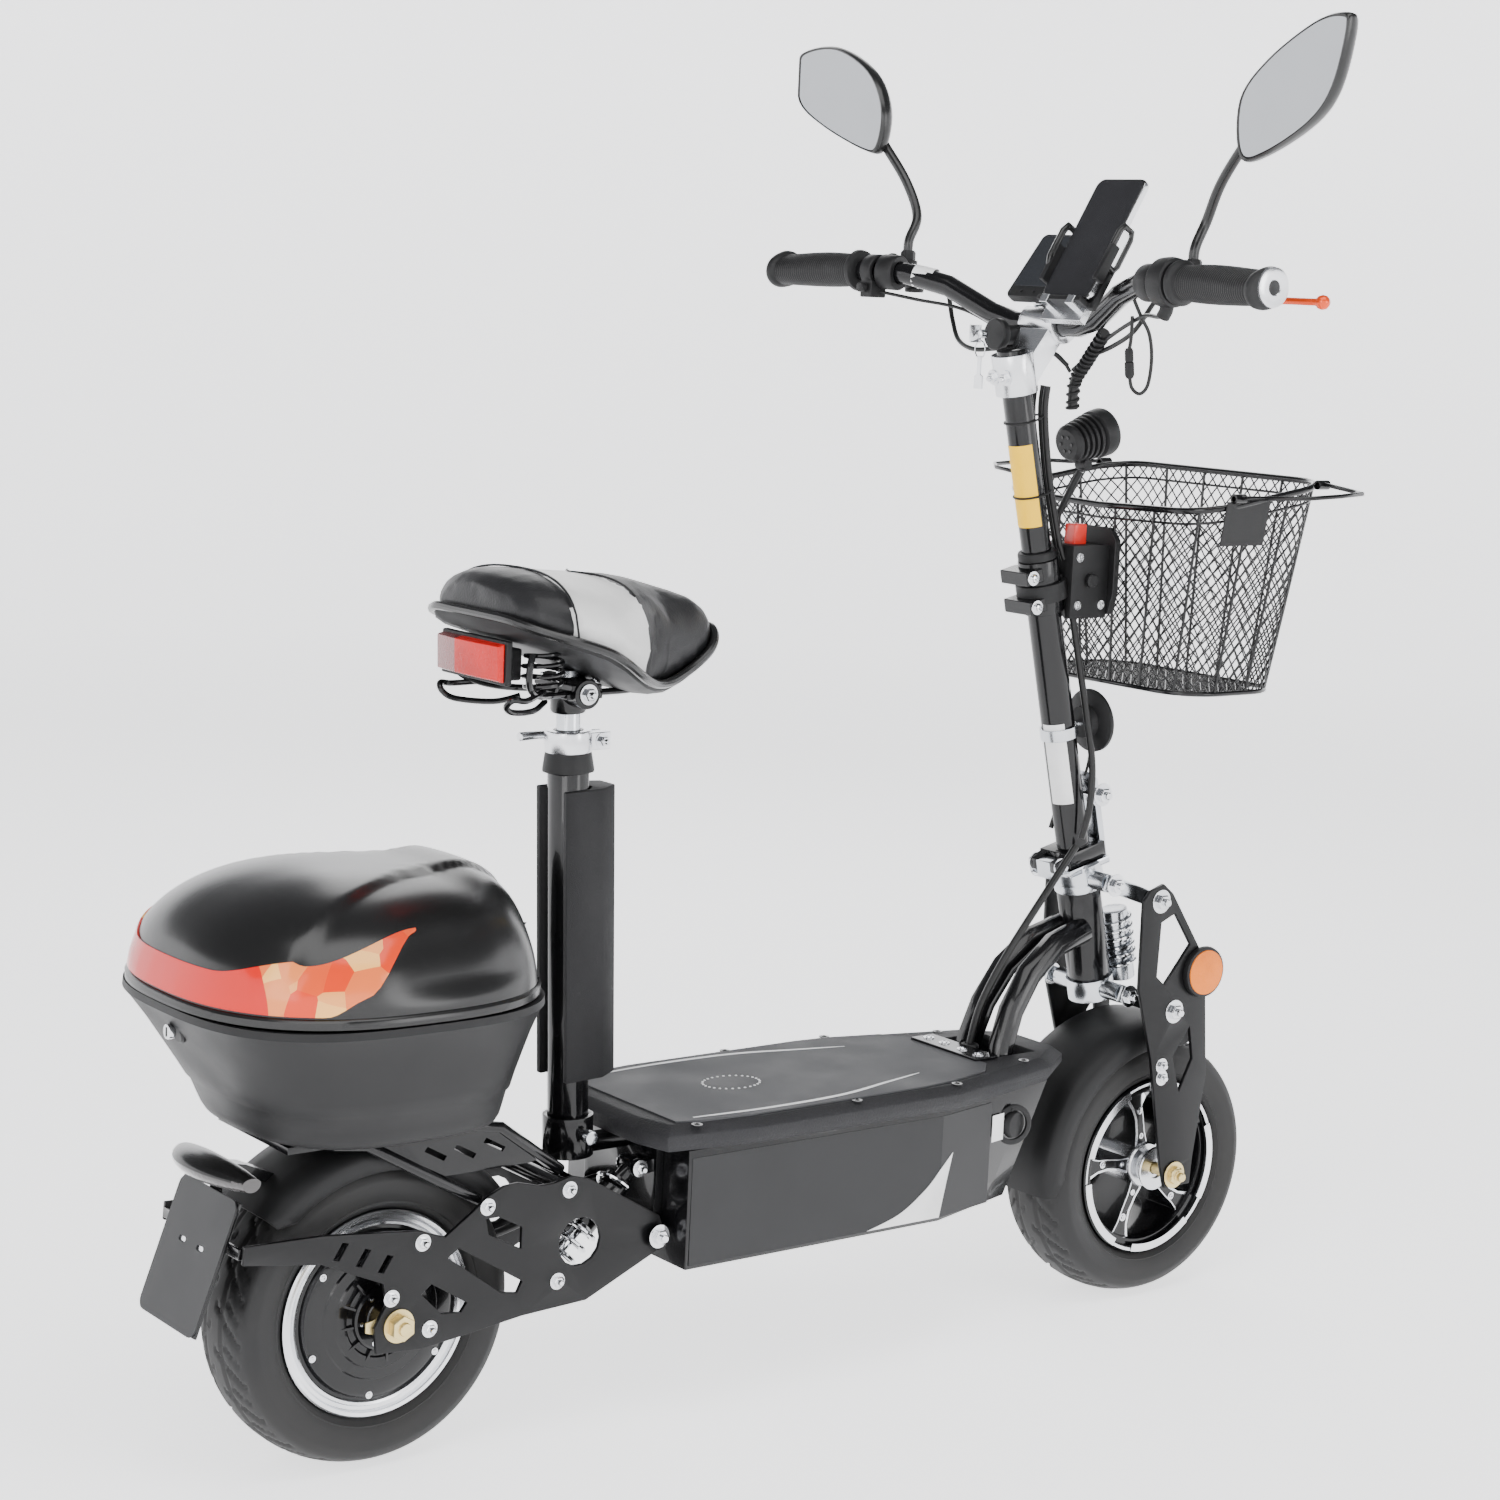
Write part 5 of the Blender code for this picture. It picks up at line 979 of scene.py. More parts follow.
def gooseneck():
    foot = box((0.67, -0.05, 0.287), (0.7, 0.05, 0.29))
    screws = [bolt((0.684, y, 0.29), Z, 0.0036, 0.0022, "socket") for y in (-0.038, -0.014, 0.014, 0.038)]
    piece("neck_foot_plate", foot, PAINT, "chassis", bevel=0.0008)
    piece("neck_screws", merge(*screws), CHROME, "chassis")
    cup = lathe([(0.0176, 0.1085), (0.0238, 0.1085), (0.0245, 0.1105), (0.0245, 0.116), (0.0225, 0.1175),
        (0.0176, 0.1175)], STEER_FOOT, STEER_DIR, 48, loop=True)
    low = lathe([(0.0176, 0.0055), (0.0232, 0.0055), (0.024, 0.0075), (0.024, 0.0115), (0.0176, 0.0115)],
        STEER_FOOT, STEER_DIR, 48, loop=True)
    piece("headset_cups", merge(cup, low), ZINC, "chassis")
    grommet = lathe([(0.004, -0.002), (0.0088, -0.002), (0.0095, 0.001), (0.0085, 0.0035), (0.005, 0.004)],
        (0.706, 0.0, 0.2868), Z, 24, loop=True)
    piece("cable_grommet", grommet, RUBBER, "chassis")


# ---------------------------------------------------------------- front end
def front_end():
    finish_node("fork_yoke front_lower_link front_upper_link", ZINC, 0.0007)
    finish_node("leg_plate_right leg_plate_left", PLATE, 0.0008)
    finish_node("front_axle", GOLD, 0.0005, 30)
    finish_node("front_shock", ZINC, 0.0006, 30)
    low, high = steer(0.0, 0.0), steer(0.1217, 0.0)
    reach = Vector((0.05, 0, -0.018))
    for side, tag in ((1, "left"), (-1, "right")):
        out = Vector((0, side, 0))
        for spot, link, name in ((low, "lower_link", "low"), (high, "upper_link", "high")):
            piece("link_bolt_%s_%s" % (name, tag), bolt(spot + out * 0.0578, out, 0.0075, 0.0056), CHROME,
                link, bevel=0.0003)
            piece("link_cap_%s_%s" % (name, tag), bolt(spot + reach + out * 0.0742, out, 0.008, 0.006),
                CHROME, "legs", bevel=0.0003)
        nut = hoop(0.0064, 0.0125, 0.0742, 0.0756, (WHEELBASE, 0, WHEEL_R), out, 32)
        piece("front_axle_washer_" + tag, merge(nut,
            bolt((WHEELBASE, side * 0.0756, WHEEL_R), out, 0.0092, 0.0072)), GOLD, "legs", bevel=0.0003)
    cup_rows = [(0.0, -0.0002), (0.0262, -0.0002), (0.027, 0.003), (0.0262, 0.006), (0.024, 0.0068),
        (0.0, 0.0068)]
    lens_rows = [(0.0, 0.0064), (0.0236, 0.0064), (0.0232, 0.0078), (0.012, 0.009), (0.0, 0.0092)]
    for side, tag in ((-1, ""), (1, "_left")):
        spot = Vector((0.955, side * 0.0742, 0.355))
        piece("side_reflector_cup" + tag, lathe(cup_rows, spot, Y * side, 40), MATTE, "legs", angle=30)
        piece("side_reflector" + tag, lathe(lens_rows, spot, Y * side, 40), AMBER, "legs", angle=30)
    for side, tag in ((1, "left"), (-1, "right")):
        stack = [bolt((x, side * 0.0742, z), Y * side, 0.0052, 0.004) for x,
            z in ((0.9055, 0.26), (0.9068, 0.247))]
        piece("leg_bolts_" + tag, merge(*stack), CHROME, "legs", bevel=0.0003)
    coil = [steer(0.006 + 0.056 * k / 100, 0.0443 + 0.0165 * cos(2 * pi * 6 * k / 100),
        0.0165 * sin(2 * pi * 6 * k / 100)) for k in range(101)]
    piece("front_spring", sweep(coil, 0.002, 8), CHROME, "legs")
    collar = lathe([(0.0172, 0.118), (0.0262, 0.118), (0.0272, 0.1205), (0.0272, 0.137), (0.0255, 0.1395),
        (0.0172, 0.1395)], STEER_FOOT, STEER_DIR, 48, loop=True)
    piece("fork_collar", collar, ZINC, "fork", angle=30)


# ---------------------------------------------------------------- stem and basket
def stem():
    finish_node("stem_lower stem_upper", PAINT, 0.0007, 30)
    finish_node("stem_latch", ZINC, 0.0006)
    finish_node("basket_bracket", MATTE, 0.001)
    finish_node("basket_release", RED, 0.0012)
    knob = [(0.0, 0.0), (0.0105, 0.0), (0.012, 0.002), (0.012, 0.012), (0.01, 0.0145), (0.0, 0.015)]
    piece("latch_knob", lathe(knob, steer(0.205, 0.027, 0.013), Y, 32), ZINC, "latch")
    dial = [bolt(steer(0.205, 0.027, -0.024), -Y, 0.0078, 0.006),
        bolt(steer(0.146, -0.036, -0.018), -Y, 0.006, 0.005),
        bolt(steer(0.146, -0.036, 0.018), Y, 0.006, 0.005)]
    piece("stem_pins", merge(*dial), CHROME, "fork", bevel=0.0003)
    ears = []
    for s in (0.411, 0.441):
        ring = [steer(s + ds, f, y) for ds in (0.0,) for f,
            y in ((-0.034, -0.02), (-0.012, -0.02), (-0.012, 0.02), (-0.034, 0.02))]
        top = [steer(s + 0.014, f, y) for f, y in ((-0.034, -0.02), (-0.012, -0.02), (-0.012, 0.02),
            (-0.034, 0.02))]
        ears.append(loft([ring, top]))
    piece("height_clamp_ears", merge(*ears), PAINT, "stem", bevel=0.0012)
    piece("height_clamp_screws", merge(*[bolt(steer(s + 0.007, -0.026, -0.02), -Y, 0.0046, 0.005,
        "socket") for s in (0.411, 0.441)]), CHROME, "stem")
    rib = lathe([(0.0173, 0.46), (0.0196, 0.46), (0.0196, 0.466), (0.0185, 0.468), (0.0155, 0.4685),
        (0.0155, 0.46)], STEER_FOOT, STEER_DIR, 40, loop=True)
    piece("stem_bush", rib, MATTE, "stem")
    for side_name, start, end, a0, a1, mat in (("stem_sticker", 0.495, 0.578, 150, 262, YELLOW),
            ("stem_label", 0.205, 0.29, 170, 250, WHITE)):
        radius = 0.0152 if side_name == "stem_sticker" else 0.0172
        outer = []
        for k in range(13):
            a = radians(a0 + (a1 - a0) * k / 12)
            outer.append([steer(start, (radius + 0.0003) * cos(a), (radius + 0.0003) * sin(a)),
                steer(end, (radius + 0.0003) * cos(a), (radius + 0.0003) * sin(a)),
                steer(end, (radius + 0.00005) * cos(a), (radius + 0.00005) * sin(a)),
                steer(start, (radius + 0.00005) * cos(a), (radius + 0.00005) * sin(a))])
        piece(side_name, loft(outer), mat, "bars" if side_name == "stem_sticker" else "stem")
    horn_spot = Vector((0.845, 0.0, 0.613))
    horn_dir = Vector((0.95, 0, 0.1)).normalized()
    horn = lathe([(0.0, -0.012), (0.016, -0.012), (0.0175, -0.004), (0.03, -0.0015), (0.0325, 0.0),
        (0.0325, 0.0035), (0.029, 0.006), (0.018, 0.0075), (0.017, 0.004), (0.01, 0.004), (0.006, 0.0085),
        (0.0, 0.009)], horn_spot, horn_dir, 48)
    arm = box((0.8, -0.007, 0.61), (0.836, 0.007, 0.613))
    band = hoop(0.0171, 0.0195, 0.272, 0.284, STEER_FOOT, STEER_DIR, 40)
    piece("horn_unit", merge(horn), MATTE, "stem", angle=30)
    piece("horn_arm", merge(arm, band), ZINC, "stem", bevel=0.0005)


def basket_point(u, v):
    """u runs round the wall from 0 to 1, v from the floor up to the rim."""
    outline = basket_outline(v)
    count = len(outline)
    position = (u % 1.0) * count
    k = int(position)
    t = position - k
    return outline[k % count].lerp(outline[(k + 1) % count], t)


def basket_outline(v, steps=96):
    rear, front = 0.8563 + (0.8385 - 0.8563) * v, 0.9937 + (1.0135 - 0.9937) * v
    half = 0.1237 + (0.1535 - 0.1237) * v
    r = 0.045
    corners = [(front - r, half - r, 0), (rear + r, half - r, 90), (rear + r, r - half, 180),
        (front - r, r - half, 270)]
    path = []
    for cx, cy, start in corners:
        for k in range(7):
            a = radians(start + 90 * k / 6)
            path.append(Vector((cx + r * cos(a), cy + r * sin(a), 0)))
    total = sum((b - a).length for a, b in zip(path, path[1:] + path[:1]))
    out, walked, target, index = [], 0.0, 0.0, 0
    ring = path + path[:1]
    for k in range(steps):
        target = total * k / steps
        while walked + (ring[index + 1] - ring[index]).length < target:
            walked += (ring[index + 1] - ring[index]).length
            index += 1
        seg = ring[index + 1] - ring[index]
        p = ring[index] + seg * ((target - walked) / seg.length)
        rim = 0.838 + 0.028 * (p.x - rear) / (front - rear) - 0.004 * (1 - abs(p.y) / half) * (1 if p.x < rear
            + 0.02 else 0)
        out.append(Vector((p.x, p.y, 0.654 + (rim - 0.654) * v)))
    return out


def basket():
    wires = []
    cells, rows = 60, 13
    for way in (1, -1):
        for k in range(cells):
            line = [basket_point((k + way * rows * t / 26 * 1.0) / cells, t / 26) for t in range(27)]
            wires.append(sweep(line, 0.00085, 5))
    piece("basket_mesh", merge(*wires), PAINT, "basket_shell", angle=80, stands=("basket",))
    rim = [p.copy() for p in basket_outline(1.0, 120)]
    hoops = [sweep(rim, 0.0034, 10, True), sweep([p.copy() for p in basket_outline(0.0, 96)], 0.0026, 8,
        True), sweep([p.copy() for p in basket_outline(0.93, 120)], 0.0014, 6, True)]
    for k in range(16):
        line = [basket_point((k + 0.5) / 16, t / 8) for t in range(9)]
        hoops.append(sweep(line, 0.0015, 6))
    piece("basket_frame", merge(*hoops), PAINT, "basket_shell", angle=80)
    floor = []
    for way in (1, -1):
        for k in range(-22, 23):
            offset = 0.0125 * k
            ends = []
            for j in range(61):
                t = -0.16 + 0.32 * j / 60
                p = Vector((0.925 + t, offset + way * t, 0.654))
                if abs(p.x - 0.925) < 0.0675 and abs(p.y) < 0.122 and not (abs(p.x - 0.925) > 0.04
                        and abs(p.y) > 0.092):
                    ends.append(p)
            if len(ends) > 2:
                floor.append(sweep([ends[0], ends[-1]], 0.00085, 5))
    for y in (-0.08, -0.04, 0.0, 0.04, 0.08):
        floor.append(sweep([(0.858, y, 0.6525), (0.992, y, 0.6525)], 0.0017, 6))
    piece("basket_floor", merge(*floor), PAINT, "basket_shell", angle=80)
    finish_node("basket_handle_left basket_handle_right", PAINT, 0.0003, 60)
    hooks = []
    for side in (-1, 1):
        for x, z in ((0.877, 0.853), (0.994, 0.866)):
            hooks.append(hoop(0.0028, 0.0048, -0.0075, 0.0075, (x, side * 0.1572, z - 0.001), X, 16))
    piece("bail_eyes", merge(*hooks), PAINT, "basket_shell")
    patch = [(-0.03, -0.022), (0.03, -0.022), (0.03, 0.022), (-0.03, 0.022)]
    tag = plate(patch, 0.0, 0.0016, place=lambda u, v,
        h: Vector((0.893 + u, -0.1512 - 0.162 * v - h, 0.827 + v)))
    piece("basket_badge", tag, MATTE, "basket_shell", bevel=0.0006)
    hanger = plate([(-0.026, 0.725), (0.026, 0.725), (0.032, 0.745), (0.032, 0.8), (0.022, 0.812),
        (-0.022, 0.812), (-0.032, 0.8), (-0.032, 0.745)], 0.0, 0.0075, place=lambda u, v,
        h: Vector((0.8356 + h + 0.0 * v, u, v)))
    piece("basket_hanger", hanger, MATTE, "basket_shell", bevel=0.0014)
    grip = lathe([(0.0, 0.0), (0.0062, 0.0), (0.007, 0.0015), (0.007, 0.0052), (0.0055, 0.0068),
        (0.0, 0.0072)], (0.81, -0.024, 0.76), -Y, 28)
    screws = [bolt((0.778, -0.01, 0.751), -Y, 0.0042, 0.004, "socket"),
        bolt((0.795, -0.024, 0.735), -Y, 0.003, 0.0014, "socket"),
        bolt((0.795, -0.024, 0.783), -Y, 0.003, 0.0014, "socket"),
        bolt((0.827, -0.024, 0.735), -Y, 0.003, 0.0014, "socket")]
    piece("bracket_dial", grip, MATTE, "stem")
    piece("bracket_screws", merge(*screws), CHROME, "stem")


# ---------------------------------------------------------------- cockpit
def bar_frame(side):
    """Where the grip starts, its direction outward, and the up and forward directions."""
    start, end = Vector((0.7044, side * 0.228, 1.0569)), Vector((0.698, side * 0.3535, 1.056))
    along = (end - start).normalized()
    up = (Z - along * Z.dot(along)).normalized()
    return start, along, up, up.cross(along) * (-side)


def grip(side, body, node, cap):
    start, along, up, ahead = bar_frame(side)
    length = 0.1235
    stations = [(0.0, 0.016, 0), (0.002, 0.0205, 0), (0.006, 0.0212, 0), (0.008, 0.02, 0), (0.01, 0.0168, 0)]
    ribs = 34
    for k in range(ribs * 3 + 1):
        s = 0.012 + (length - 0.022) * k / (ribs * 3)
        swell = 0.0166 + 0.0016 * sin(pi * (s - 0.012) / 0.1)
        stations.append((s, swell - (0.0006 if k % 3 == 1 else 0.0), 1))
    stations += [(length - 0.009, 0.0178, 0), (length - 0.007, 0.02, 0), (length - 0.003, 0.0206, 0),
        (length - 0.0008, 0.0196, 0), (length, 0.0172, 0)]
    rings = []
    for s, r, _ in stations:
        rest = smoothstep(0.03, 0.115, s)
        row = []
        for j in range(40):
            a = 2 * pi * j / 40
            palm = max(0.0, cos(a - radians(200))) ** 2
            row.append(start + along * s + (ahead * cos(a) + up * sin(a) * (1 - 0.1 * rest))
                * (r + 0.0085 * rest * palm))
        rings.append(row)
    piece("grip_%s" % body, loft(rings), RUBBER, body, angle=50, stands=(node,))
    if cap:
        end = start + along * length
        ring_shape = lathe([(0.0062, -0.002), (0.0062, 0.0018), (0.0075, 0.0028), (0.015, 0.003),
            (0.0178, 0.0018), (0.0185, -0.0015), (0.015, -0.002)], end, along, 48, loop=True)
        piece("grip_end_cap", ring_shape, ALLOY, body, angle=28)
        housing = lathe([(0.0125, -0.025), (0.019, -0.0245), (0.0225, -0.0205), (0.0235, -0.01),
            (0.0225, -0.003), (0.0205, -0.0012), (0.0125, -0.001)], start, along, 40, loop=True)
        spout = sweep([start - along * 0.012 - up * 0.015, start - along * 0.014 - up * 0.026,
            start - along * 0.018 - up * 0.032], 0.0065, 14)
        piece("throttle_housing", merge(housing, spout), MATTE, "bars", bevel=0.0005)


def perch(side):
    pivot = Vector((0.742, side * 0.19, 1.045))
    bar = Vector((0.7111, side * 0.19, 1.0562))
    along = Vector((-0.24, side * 0.97, 0.03)).normalized()
    collar = lathe([(0.0113, -0.0105), (0.0168, -0.0105), (0.0178, -0.009), (0.0178, 0.009), (0.0168, 0.0105),
        (0.0113, 0.0105)], bar, along, 36, loop=True)
    arm = sweep([bar + Vector((0.01, 0, -0.003)), (bar + pivot) * 0.5 + Vector((0.002, 0, 0)), pivot],
        lambda t: 0.0095 - 0.0018 * t, 14)
    head = lathe([(0.0, -0.0085), (0.0092, -0.008), (0.0098, -0.006), (0.0098, -0.004), (0.004, -0.0038)],
        pivot, Z, 24)
    cheek = lathe([(0.0, 0.0085), (0.0092, 0.008), (0.0098, 0.006), (0.0098, 0.004), (0.004, 0.0038)], pivot,
        Z, 24)
    piece("perch_" + ("left" if side > 0 else "right"), merge(collar, arm, head, cheek), MATTE, "bars",
        bevel=0.0006)
    boss = Vector((0.745, side * 0.206, 1.057))
    mount = merge(sweep([bar + Vector((0.004, side * 0.006, 0.012)), boss + Vector((-0.014, 0, 0.004)), boss],
        0.0085, 14), lathe([(0.0, -0.006), (0.0098, -0.006), (0.0098, 0.012), (0.006, 0.0128), (0.0, 0.0128)],
        boss, Z, 28))
    piece("mirror_mount_" + ("left" if side > 0 else "right"), mount, MATTE, "bars", bevel=0.0006)
    piece("mirror_nut_" + ("left" if side > 0 else "right"),
        bolt(boss + Vector((0, 0, -0.006)), -Z, 0.0062, 0.0046), CHROME, "bars", bevel=0.0002)
    barrel = lathe([(0.0, 0.0), (0.004, 0.0), (0.004, 0.008), (0.0052, 0.0082), (0.0052, 0.014),
        (0.0036, 0.015), (0.0036, 0.02), (0.0, 0.02)], pivot + Vector((0.004, -side * 0.008, 0.0)),
        Vector((0.1, -side, 0.0)), 20)
    piece("cable_adjuster_" + ("left" if side > 0 else "right"), barrel, ALLOY, "bars", angle=30)


def lever(side, body, node, material):
    pivot = Vector((0.742, side * 0.19, 1.045))
    bends = curve([pivot + Vector((x, side * y, 0)) for x,
        y in ((0.0, 0.0), (0.01, 0.014), (0.017, 0.034), (0.018, 0.06), (0.015, 0.088), (0.0125, 0.118),
        (0.0138, 0.148), (0.0165, 0.166))], 6)
    rings = []
    for k, p in enumerate(bends):
        t = k / (len(bends) - 1)
        tip = smoothstep(0.93, 1.0, t)
        wide = 0.0046 + 0.0014 * sin(pi * t) + 0.0016 * tip
        thin = 0.0033 + 0.0026 * tip
        step = (bends[min(k + 1, len(bends) - 1)] - bends[max(k - 1, 0)]).normalized()
        across = Z.cross(step).normalized()
        rings.append([p + across * wide * (abs(cos(a)) ** 0.7 * (1 if cos(a) > 0 else -1)) + Z * thin
            * (abs(sin(a)) ** 0.7 * (1 if sin(a) > 0 else -1)) for a in [2 * pi * j / 20 for j in range(20)]])
    ball = lathe([(0.0, -0.0068), (0.0036, -0.0058), (0.006, -0.0034), (0.0068, 0.0), (0.006, 0.0034),
        (0.0036, 0.0058), (0.0, 0.0068)], bends[-1], Vector((0.2, side, 0)), 20)
    piece("lever_" + body, merge(loft(rings), ball), material, body, angle=60, stands=(node,))
    piece("lever_pin_" + body, bolt(pivot + Vector((0, 0, 0.0082)), Z, 0.0034, 0.0022, "socket"), CHROME,
        "bars")


MIRROR_LEFT = ((0.252, 1.182), (0.275, 1.18), (0.345, 1.205), (0.39, 1.232), (0.394, 1.268), (0.386, 1.285),
    (0.33, 1.288), (0.272, 1.262), (0.246, 1.222))
MIRROR_RIGHT = ((-0.262, 1.172), (-0.29, 1.172), (-0.345, 1.2), (-0.372, 1.232), (-0.385, 1.285),
    (-0.378, 1.296), (-0.345, 1.29), (-0.29, 1.258), (-0.258, 1.222))


def mirror(side, body, node, corners):
    edge = [Vector((0.743, p.y, p.z)) for p in curve([(0, y, z) for y, z in corners], 6, True)]
    edge = [Vector((p.x, min(max(p.y, -0.385), 0.3935), min(p.z, 1.297))) for p in edge]
    middle = sum(edge, Vector()) / len(edge)
    level = lambda scale, dx: [middle + (p - middle) * scale + Vector((dx, 0, 0)) for p in edge]
    shell = [level(0.925, -0.0066), level(0.94, -0.0078), level(0.968, -0.008), level(0.992, -0.0055),
        level(1.0, -0.002), level(0.99, 0.0025), level(0.945, 0.0075), level(0.85, 0.0118),
        level(0.68, 0.0146), level(0.42, 0.016), level(0.15, 0.0164)]
    piece("shell_" + body, loft(shell), GLOSS, body, angle=60, stands=(node,))
    piece("glass_" + body, loft([level(0.933, -0.0072), level(0.93, -0.0064)]), CLEAR, body)
    base = Vector((0.745, side * 0.206, 1.069))
    line = [base, base + Z * 0.02, Vector((0.756, side * 0.208, 1.115)), Vector((0.754, side * 0.226, 1.15)),
        Vector((0.75, side * 0.26, 1.188)), Vector((0.752, side * 0.282, 1.208)),
        Vector((0.752, side * 0.29, 1.217))]
    piece("stalk_" + body, sweep(curve(line, 7), 0.005, 14), GLOSS, body, angle=80)
    collar = [lathe([(0.005, 0.0), (0.008, 0.0), (0.008, 0.008), (0.0062, 0.0105), (0.005, 0.0105)], base, Z,
        6, loop=True)]
    socket = lathe([(0.0, -0.01), (0.009, -0.009), (0.013, 0.0), (0.013, 0.006), (0.0, 0.008)],
        Vector((0.756, side * 0.288, 1.214)), -X, 28)
    piece("fittings_" + body, merge(*collar, socket), MATTE, body, bevel=0.0004)


def tilted(lean, base, y0):
    up, out = Vector((sin(lean), 0, cos(lean))), Vector((-cos(lean), 0, sin(lean)))
    return lambda w, h, t: base + up * h + out * t + Y * (y0 + w)


def rounded_rect(w0, w1, h0, h1, r, steps=6):
    points = []
    for cu, cv, start in ((w1 - r, h1 - r, 0), (w0 + r, h1 - r, 90), (w0 + r, h0 + r, 180),
            (w1 - r, h0 + r, 270)):
        points += circle2(cu, cv, r, steps, start, start + 90)
    return points


def display():
    at = tilted(radians(38), Vector((0.73, 0.0, 1.038)), 0.0)
    body = rounded_rect(-0.037, 0.037, 0.0, 0.079, 0.006)
    levels = [(0.8, -0.0125), (0.94, -0.0118), (0.99, -0.0095), (1.0, -0.006), (1.0, -0.0014), (0.985, 0.0)]
    rings = [[at(w * s, 0.0395 + (h - 0.0395) * s, t) for w, h in body] for s, t in levels]
    piece("display_body", loft(rings), MATTE, "display_unit", angle=30, stands=("display",))
    screen = rounded_rect(-0.0335, 0.0335, 0.013, 0.0755, 0.0035)
    piece("display_screen", plate(screen, -0.0002, 0.0006, place=lambda w, h, t: at(w, h, t)), SCREEN,
        "display_unit", bevel=0.0002)
    marks = [plate(circle2(w, 0.007, 0.0016, 12), -0.0001, 0.0007, place=lambda w, h,
        t: at(w, h, t)) for w in (-0.018, 0.0, 0.018)]
    piece("display_keys", merge(*marks), PLATE_GREY, "display_unit")
    foot = [at(0.0, 0.02, -0.012), Vector((0.75, 0.0, 1.046)), Vector((0.764, 0.0, 1.042))]
    arm = sweep(foot, 0.006, 12)
    hub = disc(0.0062, -0.0145, 0.0145, (0.764, 0.0, 1.042), Y, 20)
    piece("display_arm", merge(arm, hub), MATTE, "display_unit", bevel=0.0005)
    strap = sweep([Vector((0.764, 0.019, 1.042)), Vector((0.761, 0.019, 1.027)),
        Vector((0.756, 0.019, 1.012))], 0.004, 10)
    other = sweep([Vector((0.764, -0.019, 1.042)), Vector((0.761, -0.019, 1.027)),
        Vector((0.756, -0.019, 1.012))], 0.004, 10)
    piece("display_bracket", merge(strap, other), MATTE, "bars", bevel=0.0004)


def loop_frame(at, w, h0, h1, t0, t1, r=0.0026):
    corners = [(h0, t0), (h1, t0), (h1, t1), (h0, t1)]
    path = []
    for k, (h, t) in enumerate(corners):
        before, after = corners[k - 1], corners[(k + 1) % 4]
        for (a, b), f in ((before, 0.16), (after, 0.16)):
            path.append(at(w, h + (a - h) * f, t + (b - t) * f))
    return sweep(path, r, 8, True)


def phone():
    at = tilted(radians(31), Vector((0.7045, 0.0, 1.03)), -0.08)
    finish_node("phone_holder phone_jaw", MATTE, 0.001)
    outline = rounded_rect(-0.033, 0.033, 0.0058, 0.14, 0.0085)
    scaled = lambda s, t: [at(w * s, 0.0729 + (h - 0.0729) * s, t) for w, h in outline]
    shell = [scaled(0.965, 0.0006), scaled(0.99, 0.0012), scaled(1.0, 0.0028), scaled(1.0, 0.0062),
        scaled(0.99, 0.0078), scaled(0.975, 0.0083)]
    piece("phone_body", loft(shell), [GLOSS, ALLOY], "holder", angle=40, pick=lambda p,
        n: 1 if abs(n.dot(Vector((-cos(radians(31)), 0, sin(radians(31)))))) < 0.35 else 0)
    glass = rounded_rect(-0.0312, 0.0312, 0.0076, 0.1382, 0.0075)
    piece("phone_glass", plate(glass, 0.0081, 0.0087, place=lambda w, h, t: at(w, h, t)), STICKER, "holder",
        bevel=0.0002)
    jaw = merge(loop_frame(at, -0.039, 0.04, 0.084, -0.002, 0.015, 0.003),
        loop_frame(at, -0.036, 0.044, 0.08, 0.002, 0.014, 0.0014))
    piece("jaw_loop", jaw, GLOSS, "jaw", angle=60)
    plate_jaw = plate([(0.044, 0.0005), (0.08, 0.0005), (0.08, 0.011), (0.044, 0.011)], -0.0395, -0.0375,
        place=lambda h, t, w: at(w, h, t))
    piece("jaw_pad", plate_jaw, ALLOY, "jaw", bevel=0.0004)
    fixed = merge(loop_frame(at, 0.039, 0.04, 0.084, -0.002, 0.015, 0.003),
        loop_frame(at, 0.036, 0.044, 0.08, 0.002, 0.014, 0.0014))
    piece("fixed_jaw_loop", fixed, GLOSS, "holder", angle=60)
    toe = plate([(-0.028, -0.014), (0.028, -0.014), (0.028, 0.005), (-0.028, 0.005)], -0.008, 0.0,
        place=lambda w, h, t: at(w, h, t))
    feet = [plate([(w - 0.005, -0.004), (w + 0.005, -0.004), (w + 0.005, 0.005), (w - 0.005, 0.005)], 0.0,
        0.015, place=lambda u, v, h: at(u, v, h)) for w in (-0.018, 0.018)]
    piece("holder_toe", merge(toe, *feet), ALLOY, "holder", bevel=0.0006)


